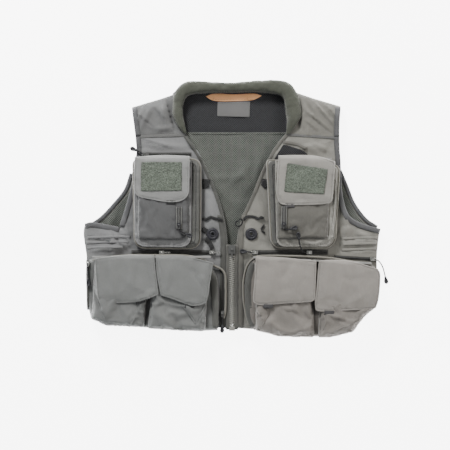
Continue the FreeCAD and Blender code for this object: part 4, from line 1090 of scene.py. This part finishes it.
def make_collar():
    """Padded ribbed band, closed at both feet, with a seam along its inner edge."""
    rows = curve_through(COLLAR, 4.0)
    turns = np.linspace(0, 2 * math.pi, 20, endpoint=False)
    path = rows[:, [0, 1, 3]]
    across = unit(np.cross(np.gradient(path, axis=0), (0, 0, 1)))
    verts = []
    for i, (place, side, width) in enumerate(zip(path, across, rows[:, 2])):
        tall = min(9.6, width * 0.42)
        pinch = 1 - 0.02 * math.sin(i * 0.9) - 0.025 * math.sin(i * 2.3)
        for a in turns:
            out = math.copysign(abs(math.cos(a)) ** 0.8, math.cos(a)) * width / 2
            verts.append(place + side * out * pinch + np.array((0, 0, math.sin(a) * tall * pinch)))
    faces = grid_faces(len(path), len(turns), False)
    collar = finish_piece("collar_band", verts, faces, "collar", replaces=["collar"], ride=False)
    inflate(collar, places_of(collar)[:, 2] > 8, pressure=1.2, slack=0.02, cap=2.0)
    smoother = collar.modifiers.new("soften", "SUBSURF")
    smoother.levels = smoother.render_levels = 1
    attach(collar, "vest")
    edge = path + across * (rows[:, 2] / 2 - 0.6)[:, None] - np.array((0, 0, 3.5))
    ribbon("collar_seam", edge[3:-3], oval(2.2, 2.2, 8), "thread_dark")


def make_label_and_loop():
    """Woven label on the yoke mesh, and the hang loop above it."""

    def label_height(x, y):
        return BACK + 3.2 + 0.5 * np.sin(x / 9) * np.clip((200 - y) / 18, 0, 1)

    def loop_height(x, y):
        return BACK + 3.2 + 0.4 * np.cos(x / 19) + fold(x, y, [(20, 218, 44, 220, 3, 0.6)])

    line = rounded([(-29, 183), (35, 181.5), (36, 212.5), (-28.5, 212)], 1.5, 2.5)
    sheet_piece("neck_label_cloth", line, label_height, 0.7, "label", step=4, rings=(0.4, 1.5),
                replaces=["neck_label"], rests_on=["yoke_mesh"])
    sew([(x, 209.5) for x in np.arange(-27, 35, 3)], ["neck_label_cloth"])
    line = closed_line([(-52, 222.5, 0), (-40, 215), (-22, 212.6), (22, 213.4), (44, 216), (59, 224, 0),
                        (42, 228.5), (4, 226.5), (-34, 228.5)], 3)
    loop = sheet_piece("hang_loop_band", line, loop_height, 1.5, "loop", step=3, replaces=["hang_loop"],
                       ride=False)
    hinge_blend(loop, "hang_loop_swing")
    cut_sheet(line)
    rows = [([(x, 216.2) for x in np.arange(-34, 42, 3)], "hang_loop"),
            ([(x, 226.6) for x in np.arange(-34, 42, 3)], "vest")]
    rows += [([(x, 215), (x, 219.5)], "hang_loop") for x in (-36, 30)]
    for row, body in rows:
        sew(row, ["hang_loop_band"], body=body, finish="thread_loop")


# ---------------------------------------------------------------- centre zip


def make_centre_zip():
    """Two toothed tapes that mesh, and finishes for the box, the slider and its pull."""
    z = FRONT - 0.3
    bottom, top = low("centre_zip_left", 1), high("centre_zip_left", 1)
    stop = pivot("centre_pull_swing")[1] - 9
    for side, word in ((-1, "left"), (1, "right")):
        name = f"{word}_zip_tape"
        run = [(side * TAPE_MIDDLE, y, z - 0.6) for y in np.linspace(bottom, top, 40)]
        ribbon(name, np.array(run), tape_section(10.0, 1.1), "tape_pale", replaces=[f"centre_zip_{word}"])
        sew([(side * TAPE_STITCHES, y) for y in np.arange(bottom + 3, top - 2, 3)], [name])
        parts = []
        for y in np.arange(bottom + 9 + (2 if side > 0 else 0), stop - 2, TOOTH_PITCH):
            tooth = [(side * out, y + 0.85, z + up) for out, up in ((-1.1, 0), (1.0, 0.3), (5.0, 0.2))]
            parts.append(ribbon_mesh(tooth, oval(2.4, 2.0, 8)))
        if side < 0:
            parts.append(ribbon_mesh([(0, bottom + 1, z), (0, bottom + 10, z)], oval(3.6, 2.2, 8)))
        verts, faces = joined(parts)
        finish_piece(f"{word}_zip_teeth", verts, faces, "teeth")
    paint("centre_zip_box", "teeth")
    paint("centre_zip_slider", "gunmetal")
    paint("centre_zip_pull", "gunmetal")


# ---------------------------------------------------------------- chest pockets

CHEST = {
    "left": {
        "finish": "pod",
        "panel_finish": "panel",
        "flap_finish": "flap",
        "webbing": "webbing",
        "outline": rounded([(-193, -79), (-60, -80), (-58.5, 101), (-196, 99)], [28, 27, 24, 14]),
        "face": rounded([(-190, -74), (-79, -75.5), (-78, 97), (-192, 96)], [24, 24, 10, 8]),
        "panel": rounded([(-183, -61), (-84, -61), (-84, 87), (-183, 87)], [8, 26, 4, 4]),
        "flap": closed_line([(-190.5, 50), (-189, 33), (-179, 23), (-150, 16.5), (-128, 13), (-106, 13.5),
                             (-92, 19), (-84.5, 29), (-83, 45), (-82, 103, 0), (-135, 105), (-189, 101, 0)]),
        "patch": [(-177, 34), (-98, 35), (-97, 91), (-176, 91)],
        "welt": -103.0,
        "lean": 0.0,
        "tab": (-119, 14.5, 0),
        "turn": 0.0,
        "pod_folds": [(-196, 10, -186, -60, 7, -1.2), (-194, -30, -184, -70, 5, 1.2),
                      (-196, 70, -190, 20, 5, 1.0)],
        "folds": [(-175, 92, -120, 100, 9, 0.8), (-186, 60, -178, 20, 9, -0.8), (-90, 80, -88, 30, 8, -0.8)],
        "face_folds": [(-186, 20, -186, -50, 6, -1.4), (-165, -68, -110, -70, 6, -1.0),
                       (-176, 20, -140, -60, 9, 0.9), (-100, 10, -120, -60, -9, 0.8)],
    },
    "right": {
        "finish": "pod_warm",
        "panel_finish": "panel_warm",
        "flap_finish": "flap_warm",
        "webbing": "webbing_pale",
        "outline": rounded([(75, -78), (204, -80), (213, 88), (66, 99)], [26, 32, 18, 10]),
        "face": rounded([(86, -74.5), (197, -74), (206, 84), (83, 97)], [20, 26, 12, 6]),
        "panel": rounded([(88, -60), (187, -58), (191, 84), (88, 90)], [6, 8, 3, 3]),
        "flap": closed_line([(86, 42), (87, 24), (92, 12), (103, 7.5), (145, 7.5), (184, 9.5), (192, 14),
                             (195.5, 24), (200, 92, 0), (165, 103), (125, 105), (90, 104, 0)]),
        "patch": [(101, 33), (178, 28), (186, 77), (107, 89)],
        "welt": 104.0,
        "lean": 0.035,
        "tab": (112, 8.5, -2),
        "turn": -2.0,
        "pod_folds": [(212, 60, 204, 10, 6, 1.6), (214, 20, 202, -40, 7, -1.6), (210, -20, 198, -70, 6, 1.4),
                      (196, -60, 150, -76, 6, 1.2)],
        "folds": [(110, 96, 180, 90, 9, 0.7), (196, 70, 190, 25, 8, -0.8), (120, 20, 170, 16, 8, -0.7)],
        "face_folds": [(198, 60, 196, -40, 6, -1.8), (190, -20, 206, 40, 7, 1.4),
                       (160, -66, 200, -52, 6, 1.2), (110, -66, 150, -70, 6, -1.0)],
    },
}


def pad_height(base, top, reach, folds, seed, wave=0.4):
    """Height of a soft block: a rounded edge, a low crown, folds and a little unevenness."""

    def height(x, y, d):
        crown = 0.6 * np.clip(d / 40, 0, 1)
        surface = top - 0.6 + crown + wave * (ripple(x, y, 34, seed) + 2.6 * creases(x, y, 38, seed))
        surface = surface + 2.4 * fold(x, y, folds) + puckered(x, y, d)
        return base + (surface - base) * rise(d, reach)

    return height


def flat_at(level):
    return lambda x, y, d: np.full_like(x, level)


def make_chest_pocket(word):
    """Pod with its zip band and piping, its face, the stuff pocket on it, its flap and loop patch."""
    style = CHEST[word]
    finish, welt = style["finish"], style["welt"]
    base = FRONT - 2.5
    pod, face, panel = f"{word}_pod_bag", f"{word}_pod_face", f"{word}_stuff_pocket"
    shell(pod, style["outline"], pad_height(base, POD - 4.5, 9, style["pod_folds"], 21), flat_at(base),
          finish, rings=(0.6, 1.8, 3.6, 6), step=6, replaces=[f"{word}_chest_pod"])
    puffed(face, style["face"], pad_height(POD - 7, POD, 5, style["face_folds"], 22), POD - 7, finish,
           (0.6, 1.6, 3.2), 5, lambda at: at[:, 2] > POD - 3, (1.5, 0.03, 1.6))
    run = inset(style["outline"], 11.5)[:-1]
    shown = run[:, 0] > -92 if word == "left" else run[:, 0] < 99
    start = int(np.argmax(shown & ~np.roll(shown, 1)))
    band = np.roll(run, -start, axis=0)[:int(shown.sum())]
    laid(f"{word}_pod_zip", band, [pod], tape_section(14, 1.2), "tape_mid", lift=0.1)
    middle = on_top(curve_through(band[::3], 3), [f"{word}_pod_zip"], 0.05)
    ribbon(f"{word}_pod_zip_lip", middle, oval(2.0, 1.2, 8), "tape")
    rim = on_top(inset(style["outline"], 3.0)[:-1], [pod], 0.3)
    ribbon(f"{word}_pod_piping", rim, oval(3.8, 3.4, 10), "piping", closed=True)
    edge = on_top(inset(style["face"], 2.2)[:-1], [face], -0.1)
    ribbon(f"{word}_face_piping", edge, oval(2.4, 1.8, 8), finish, closed=True)
    sew(inset(style["face"], 5.5), [face])
    soft = pad_height(POD - 1.5, POUCH - 0.4, 6, style["face_folds"], 23, 0.5)

    def panel_height(x, y, d):
        under_zip = np.abs(x - welt) < 8
        return np.minimum(soft(x, y, d), np.where(under_zip, POUCH - 1.3, POUCH + 0.3))

    puffed(panel, style["panel"], panel_height, POD - 1.5, style["panel_finish"], (0.6, 1.6, 3.2), 4,
           lambda at: (at[:, 2] > POD + 2) & (np.abs(at[:, 0] - welt) > 9), (1.2, 0.03, 0.6),
           [f"{word}_chest_pouch"])
    sew(inset(style["panel"], 3.2), [panel], finish="thread_dark")
    make_chest_zip(word, style["lean"])
    make_chest_flap(word, style)


def make_chest_zip(word, lean):
    """The upright zip on the stuff pocket, between two welts."""
    bar = pivot(f"{word}_chest_pull_swing")
    run = np.array([(bar[0] + lean * (y - bar[1]), y, CHEST_ZIP)
                    for y in np.linspace(bar[1] - 7.5, bar[1] + 36, 14)])
    coil_zip(f"{word}_chest_zip", run, "chest_zips", 5.6, "panel", "panel_edge")
    for which, shift in (("a", -4.6), ("b", 4.6)):
        ribbon(f"{word}_welt_{which}", run + (shift, 0, 0.2), oval(2.0, 1.8, 8), "panel_edge")


def bent_height(level, place, turn, droop, folds, seed):
    """Height of a flap: flat on its pouch, rolling down at its hinge and easing down at its free edge."""
    lean = math.tan(math.radians(turn))

    def height(x, y):
        ahead = (place[1] + lean * (x - place[0])) - y
        roll = np.clip((4 - ahead) / 7, 0, 1)
        free = np.clip((ahead / FLAP_LENGTH - 0.75) * 4, 0, 1)
        return (level + 0.9 - 5.0 * roll**2 - droop * free**2 + 0.3 * ripple(x, y, 50, seed)
                + (0.9 * creases(x, y, 44, seed) + 1.8 * fold(x, y, folds)) * np.clip(ahead / 12, 0, 1))

    return height


def hinge_blend(obj, joint):
    """Bakes the cloth's placement into its mesh; the direction over its hinge line is worked out but not
    used.
    """
    over = np.cross((0, 0, 1), np.array(joints[joint]["axis"], float))
    over *= math.copysign(1, over[1])
    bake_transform(obj)


flap_heights = {}


def make_flap(node, line, level, turn, finish, folds, droop, seed):
    """A flap's cloth, hemmed and stitched; its stitches ride on the flap's body."""
    joint = f"{node}_hinge"
    name = f"{node}_cloth"
    place = pivot(joint)
    flap_heights[node] = bent_height(level, place, turn, droop, folds, seed)
    flap = sheet_piece(name, line, flap_heights[node], 1.7, finish, edge=1.2, step=4, hem=1.0,
                       rings=(0.4, 1.2, 2.3, 3.4, 4.5, 7), replaces=[node], ride=False)
    hem = inset(line, 3.2)
    far = hem[(place[1] + math.tan(math.radians(turn)) * (hem[:, 0] - place[0])) - hem[:, 1] > 6]
    jump = int(np.argmax(np.linalg.norm(np.roll(far, -1, axis=0) - far, axis=1)))
    sew(np.roll(far, -jump - 1, axis=0), [name], body=node)
    hinge_blend(flap, joint)
    cut_sheet(line)


def make_tab(name, place, body, level, finish):
    """A webbing tab that shows below a flap's free edge. The place is x, y and its turn in degrees."""
    turn = math.radians(place[2])
    away = np.array((math.sin(turn), -math.cos(turn)))
    start = np.array(place[:2]) - away * TAB_TUCK
    reach = np.linspace(0, TAB_TUCK + TAB_LENGTH, 5)
    path = [(*(start + away * s), level - 1.1 - 0.1 * s) for s in reach]
    ribbon(name, path, tape_section(TAB_WIDTH, 1.3), finish, body=body)


def make_chest_flap(word, style):
    """The flap over the stuff pocket, with its loop patch and tab."""
    body = f"{word}_chest_flap"
    make_flap(body, style["flap"], CHEST_FLAP, style["turn"], style["flap_finish"], style["folds"], 1.6, 31)
    line = rounded(style["patch"], 3, 2.0)
    line = line + np.random.default_rng(5).uniform(-0.5, 0.5, line.shape)

    def pile(x, y):
        rng = np.random.default_rng(7)
        return flap_heights[body](x, y) + 1.3 + 0.4 * rng.standard_normal(len(x)).clip(-1.5, 1.5)

    patch = f"{word}_pile_patch"
    sheet_piece(patch, line, pile, 1.4, "patch", edge=1.2, step=2.0, rings=(0.5, 1.4),
                replaces=[f"{word}_loop_patch"], body=body, rests_on=[f"{body}_cloth"])
    sew(inset(line, 1.6), [patch], body=body, finish="thread_patch")
    make_tab(f"{word}_chest_tab", style["tab"], body, CHEST_FLAP + 0.2, style["webbing"])


# ---------------------------------------------------------------- cargo pockets

CARGO = {
    "left": {
        "finish": "cargo",
        "flap_finish": "cargo_flap",
        "webbing": "webbing",
        "outline": closed_line([(-277, -214, 0), (-247, -226), (-190, -231), (-82, -239), (-28, -238, 0),
                                (-25.5, -200), (-25.5, -160), (-30, -130), (-45, -108), (-66, -96),
                                (-90, -91.5), (-160, -90.5), (-210, -91), (-266, -95), (-284, -104),
                                (-287, -135), (-284, -180)]),
        "gusset": [(-33, -232), (-33, -190), (-34, -155), (-39, -130), (-52, -112)],
        "piping": [(-272, -101, 24), (-255, -96, 25), (-200, -90.5, 26), (-160, -90.3, 26), (-95, -91, 25.5),
                   (-62, -97, 24), (-38, -110, 21), (-22, -117.5, 18.5), (-13.5, -129, 17.2),
                   (-12.4, -150, 17), (-12.4, -180, 17), (-13.2, -200, 17), (-16.5, -214, 16.6)],
        "pouches": {
            "inner": rounded([(-165, -233.5), (-52, -239.5), (-44, -104), (-152, -104)], [6, 10, 5, 5]),
            "outer": rounded([(-275, -214), (-244, -227), (-171, -231), (-157, -104), (-268, -104)],
                             [6, 20, 6, 5, 8]),
        },
        "flaps": {
            "inner": closed_line([(-138, -168, 0), (-115, -175), (-92, -184), (-78, -188), (-64, -187),
                                  (-52, -182), (-47, -174), (-42, -140), (-36, -104, 0), (-66, -96.5),
                                  (-98, -90), (-148, -89.5, 0), (-146, -125)]),
            "outer": closed_line([(-260, -171), (-251, -181), (-225, -183), (-187, -181), (-168, -176),
                                  (-141.5, -166, 0), (-147, -125), (-150.5, -89.5, 0), (-205, -89),
                                  (-266, -96, 0), (-263, -140)]),
        },
        "turn": 0.0,
        "tabs": {"inner": (-82, -186, 0), "outer": (-178, -178, 14)},
        "folds": {
            "inner": [(-94, -184, -68, -224, -12, 1.5), (-70, -224, -52, -184, -9, -1.4),
                      (-150, -200, -110, -232, 12, 1.0), (-126, -190, -84, -200, 8, -1.2)],
            "outer": [(-262, -164, -246, -214, -12, 2.0), (-272, -150, -256, -196, 7, -1.8),
                      (-190, -206, -206, -230, -9, 1.2), (-215, -188, -190, -226, 14, 1.0),
                      (-180, -200, -176, -228, 7, -1.2)],
        },
        "pleats": {
            "inner": [[(-97, -187), (-84, -203), (-71, -223)], [(-53, -188), (-60, -204), (-71, -223)]],
            "outer": [[(-262, -174), (-256, -192), (-246, -212)], [(-200, -229), (-193, -217), (-187, -208)]],
        },
        "flap_folds": {
            "inner": [(-120, -100, -128, -160, 14, 0.8), (-70, -104, -56, -160, 14, 0.7),
                      (-100, -178, -60, -182, 8, 0.7)],
            "outer": [(-200, -95, -190, -165, 12, 1.1), (-235, -100, -228, -170, 14, 0.9),
                      (-196, -150, -150, -172, -9, 0.8), (-170, -95, -160, -160, 12, -0.9),
                      (-190, -176, -150, -168, 7, 1.0)],
        },
    },
    "right": {
        "finish": "cargo_warm",
        "flap_finish": "cargo_flap_warm",
        "webbing": "webbing_pale",
        "outline": closed_line([(44, -235), (89, -247), (160, -250), (189, -250), (233, -240), (255, -214),
                                (277, -194, 0), (285, -164), (287, -126), (276, -110, 0), (223, -101.5),
                                (191, -97), (133, -93), (62, -92), (40, -99), (29, -116), (25, -142),
                                (26, -187), (33, -220)]),
        "gusset": [(42, -230), (35, -212), (32, -187), (31, -150), (35, -122), (43, -106)],
        "piping": [(46, -236, 16.6), (33, -222, 18), (24.5, -190, 18.5), (22.5, -160, 18.5), (23, -138, 18.5),
                   (29, -113, 20), (40, -98.5, 22.5), (58, -91.8, 25), (133, -92.6, 26), (191, -96, 26),
                   (223, -101, 26), (273, -108.5, 24)],
        "pouches": {
            "inner": rounded([(46, -237.5), (95, -249), (160, -250.5), (158, -104), (43, -102)],
                             [4, 24, 5, 5, 4]),
            "outer": rounded([(168, -251), (191, -251), (235, -240), (256, -213), (278, -193), (282, -122),
                              (168, -110)], [4, 8, 12, 14, 8, 8, 4]),
        },
        "flaps": {
            "inner": closed_line([(40.5, -174), (44, -182), (56, -187), (100, -184), (146, -181), (157, -178),
                                  (161, -168), (163.5, -100.5, 0), (100, -94), (46, -91.5, 0), (43, -140)]),
            "outer": closed_line([(160.5, -188), (171, -199), (225, -197), (272, -194), (280.5, -186),
                                  (285, -164), (287, -128), (282, -116, 0), (240, -103), (205, -98.5),
                                  (168, -99.5, 0), (163.5, -150)]),
        },
        "turn": -3.0,
        "tabs": {"inner": (70, -186.5, 0), "outer": (188, -199, 0)},
        "folds": {
            "inner": [(46, -188, 64, -232, -10, 2.0), (64, -228, 80, -190, -9, -1.6),
                      (90, -192, 130, -200, -9, 1.2), (120, -210, 150, -240, 14, 1.0),
                      (64, -214, 100, -240, 12, 1.0)],
            "outer": [(178, -204, 172, -244, 6, -1.8), (184, -206, 240, -222, -10, 1.3),
                      (200, -240, 262, -208, -10, 1.4), (240, -200, 268, -196, 9, 1.2)],
        },
        "pleats": {
            "inner": [[(66, -190), (70, -204), (62, -218)], [(50, -198), (57, -210), (62, -218), (56, -230)]],
            "outer": [[(178, -206), (181, -220), (176, -236)], [(196, -240), (212, -230), (228, -224)]],
        },
        "flap_folds": {
            "inner": [(80, -100, 76, -170, 18, 0.8), (120, -104, 130, -170, 18, 0.8)],
            "outer": [(220, -106, 206, -180, 16, 1.2), (250, -112, 246, -185, 16, 1.0),
                      (185, -104, 180, -185, 12, 0.9)],
        },
    },
}


def make_cargo_pocket(word):
    """Zipped bag with its gusset and piping, two bellows pouches, and their flaps and tabs."""
    style = CARGO[word]
    finish, base = style["finish"], FRONT - 2.5
    shell(f"{word}_bag", style["outline"], pad_height(base, BAG - 0.6, 9, [], 41), flat_at(base),
          finish, rings=(0.8, 2.4, 5, 8), step=7, replaces=[f"{word}_cargo_bag"])
    laid(f"{word}_gusset", style["gusset"], [f"{word}_bag"], tape_section(13, 1.2), "tape_mid")
    tube(f"{word}_bag_piping", style["piping"], 4.6, "piping")
    for which in ("inner", "outer"):
        line = style["pouches"][which]
        name = f"{word}_{which}_pouch"
        puffed(name, line, pad_height(BAG - 3, BELLOWS - 0.6, 13, style["folds"][which], 43, 0.6), BAG - 3,
               finish, (0.8, 2.4, 5, 8), 4, lambda at: at[:, 2] > BAG + 1, (2.2, 0.04, 2.2),
               [f"{word}_cargo_pouches"])
        sew(inset(line, 4), [name], finish="thread_dark")
        for i, pleat in enumerate(style["pleats"][which]):
            laid(f"{name}_pleat_{i}", pleat, [name], oval(2.6, 2.0, 8, 0.1), finish, 3)
        node = f"{word}_{which}_flap"
        make_flap(node, style["flaps"][which], CARGO_FLAP, style["turn"], style["flap_finish"],
                  style["flap_folds"][which], 1.8, 51)
        make_tab(f"{node}_tab", style["tabs"][which], node, CARGO_FLAP - 0.1, style["webbing"])


# ---------------------------------------------------------------- zips, sliders and pulls


def make_pocket_zips():
    """The zips that lie on the fronts and on the left bag."""
    for word, run in ZIP_RUNS.items():
        # The under zips' tape is wider than the real tape. With its dark colour it is painted shadow along
        # the channel between each chest pod and the bag below it.
        width = {"left_under": 9.0, "right_under": 9.0, "left_inner": 10.0}.get(word, 7.0)
        finish = "tape_mid" if word == "left_inner" else "tape"
        coil_zip(f"{word}_zip", [(x, y, FRONT - 0.6) for x, y in run], "pocket_zips", width, finish)
    run = on_top([(-280.5, y) for y in range(-197, -97, 4)], ["left_bag"], 0.7)
    coil_zip("left_edge_zip", run, "pocket_zips", 7.0, "cargo", "tape_pale")


# The routes of the stiff strands, from the cross bar of each pull to its grip.
STRANDS = {
    "left_chest": [(0, -6.2, -1.1), (2.4, -10.4, -2), (7.4, -13.4, -2.6), (13, -16, -2.6)],
    "right_chest": [(0, -6.2, -1.1), (3.6, -9, -2), (8.6, -9, -2.6), (13, -8, -2.6)],
    "right_centre": [(-6.2, 0, -1.1), (-9.6, 0.4, -1.4), (-13.4, 1, -1.7), (-17, 1.4, -1.7)],
    "left_top": [(-6.2, 0, -1.1), (-10, 2, -1.9), (-14.4, 5, -2.1), (-19, 7, -2.0)],
    "left_inner": [(0, -6.2, -1.1), (0.4, -11, -1.4), (0, -17, -1.7), (-0.4, -24, -1.7)],
    "left_edge": [(0, -6.2, -1.1), (0, -13, -1.2), (0.6, -22, -1.4), (1, -31, -1.4)],
}
METAL_PULLS = ("left_under", "left_centre")
PALE_SLIDERS = ("left_under", "left_centre", "right_under", "right_centre", "right_side", "left_edge")


def make_pulls():
    """Each pull's wire link, its strand and its moulded grip."""
    for word, strand in {**STRANDS, **CORD_ROUTES}.items():
        body = f"{word}_pull"
        bar = pivot(f"{word}_pull_swing")
        route = [bar + p for p in strand]
        verts, faces = wire_link(bar + (0, 0, -0.4), (*strand[0][:2], 0), 7.0)
        metal = "bright" if word in PALE_SLIDERS else "gunmetal"
        finish_piece(f"{body}_link", verts, faces, metal, body=body, replaces=[body])
        if word in STRANDS:
            tube(f"{body}_strand", route, CORD_THICK, "cord", 1.5, body=body)
        along = unit(route[-1] - route[-2])
        verts, faces = grip_parts(route[-1] - along * 0.8, along)
        finish_piece(f"{body}_grip", verts, faces, "grip", body=body)
    for word in METAL_PULLS:
        paint(f"{word}_pull", "bright")
    for word in (*STRANDS, *CORD_ROUTES, *METAL_PULLS):
        dark = word in ("left_chest", "right_chest")
        paint(f"{word}_slider", "grip" if dark else "bright" if word in PALE_SLIDERS else "gunmetal")


# ---------------------------------------------------------------- small hardware


# The docking discs' section, as (radius, height).
DISC_PROFILE = [(3.0, 0.2), (3.0, 2.6), (4.2, 3.0), (5.4, 2.6), (5.9, 2.0), (6.9, 2.0), (7.4, 2.7),
                (8.6, 3.0), (9.6, 2.7), (10.1, 2.2), (10.8, 2.3), (11.6, 1.9), (12.0, 1.1), (11.8, 0.2)]
# Elastic and webbing on the fronts: a line and a width.
KEEPERS = {
    "left_keeper": ([(-57, -19), (-50, -20), (-42, -16), (-32, -19), (-22, -20), (-19, -24)], 5.0),
    "right_keeper": ([(23, -21), (30, -15), (42, -15), (52, -19), (58, -16), (61, -19)], 5.0),
    "right_hook": ([(63, -31), (58, -39.5), (64, -47)], 3.4),
    "left_web": ([(-58, -39), (-48, -45), (-45, -49)], 10.0),
    "placket_tab": ([(-52, -57), (-44, -66), (-38, -78)], 9.0),
}
SQUARES = {
    "left": [(-57.5, 39), (-45, 44), (-42, 58), (-57.5, 59.5)],
    "right": [(57, 47), (64, 40), (69, 41), (71, 58), (59, 60)],
}
RING = [(13, -23, 16.5), (16, -19, 17), (20, -22, 17), (19, -29, 16.5), (13, -34, 16), (7.5, -31, 16),
        (8, -25, 16)]
MESH_PATCH = [(83, 98, 0), (96, 99), (110, 102), (152, 102, 0), (142, 113), (122, 121), (101, 127, 0)]
# Bands across the sides: y, and where each starts and stops in x.
SIDE_BANDS = {
    "left": [(-56, -284, -199), (-66, -286, -203), (-76, -284, -214)],
    "right": [(-58, 216, 287), (-69, 218, 286), (-80, 216, 284)],
}


def make_hardware():
    """Docking discs, elastic keepers, webbing squares and the small cords beside the V neck."""
    height = pivot("left_under_pull_swing")[1] + 36
    verts, faces = joined([turned(DISC_PROFILE, (x, height, FRONT)) for x in (-38, 38)])
    finish_piece("discs", verts, faces, "disc", replaces=["docking_discs"])
    for name, (points, width) in KEEPERS.items():
        side = "left" if points[0][0] < 0 else "right"
        path = on_top(curve_through(points, 2.5), [f"{side}_front_cloth"], 0.1)
        path[:, 2] += 0.9 + 0.8 * np.sin(np.linspace(0, 3 * math.pi, len(path)))
        stands_for = ["chest_loops"] if "keeper" in name else ()
        ribbon(name, path, tape_section(width, 1.5), "webbing", replaces=stands_for)
    for word, points in SQUARES.items():
        line = rounded(points, 1.2, 2)
        sheet_piece(f"{word}_square", line, lambda x, y: ground(x, y) + 1.9, 1.6, "webbing", step=4,
                    rings=(0.4, 1.2))
        sew(inset(line, 2), [f"{word}_square"], finish="thread_dark")
    tube("right_ring", RING + [RING[0]], 2.2, "cord", 1.5)
    sheet_piece("right_mesh_patch", closed_line(MESH_PATCH, 3), lambda x, y: ground(x, y) + 1.3, 0.8,
                "yoke_mesh", step=4, rings=(0.4, 1.2), rests_on=["right_front_cloth"])
    laid("right_mesh_welt", [(100, 131), (112, 130), (130, 126), (146, 118)], ["right_front_cloth"],
         tape_section(6, 1.6), "facing_warm", lift=0.3)
    for word, rows in SIDE_BANDS.items():
        for i, (y, start, stop) in enumerate(rows):
            run = [(x, y + 2 * math.sin((x - start) / 40)) for x in np.linspace(start, stop, 26)]
            laid(f"{word}_side_band_{i}", run, [f"{word}_front_cloth"], tape_section(5.0, 1.2), SHELL[word])
            sew([(x, y - 3.4) for x, y in run], [f"{word}_front_cloth"])


def declare_cords():
    """Works out each free cord's length along its spline; the lengths are not kept."""
    for word, route in cord_routes.items():
        points = np.array(route)
        curve_length(points) * MM


def curve_length(points):
    """Length of the quadratic spline with these control points: arcs between the spans' middles."""
    middles = [points[0], *((points[1:-2] + points[2:-1]) / 2), points[-1]]
    t = np.linspace(0, 1, 80)[:, None]
    total = 0.0
    for a, b, c in zip(middles, points[1:-1], middles[1:]):
        arc = (1 - t) ** 2 * a + 2 * t * (1 - t) * b + t**2 * c
        total += np.linalg.norm(np.diff(arc, axis=0), axis=1).sum()
    return total


make_back()
make_fronts()
make_side_folds()
make_yokes()
make_collar()
make_label_and_loop()
make_centre_zip()
for word in CHEST:
    make_chest_pocket(word)
for word in CARGO:
    make_cargo_pocket(word)
make_pocket_zips()
make_pulls()
make_hardware()
declare_cords()
make_sewing()
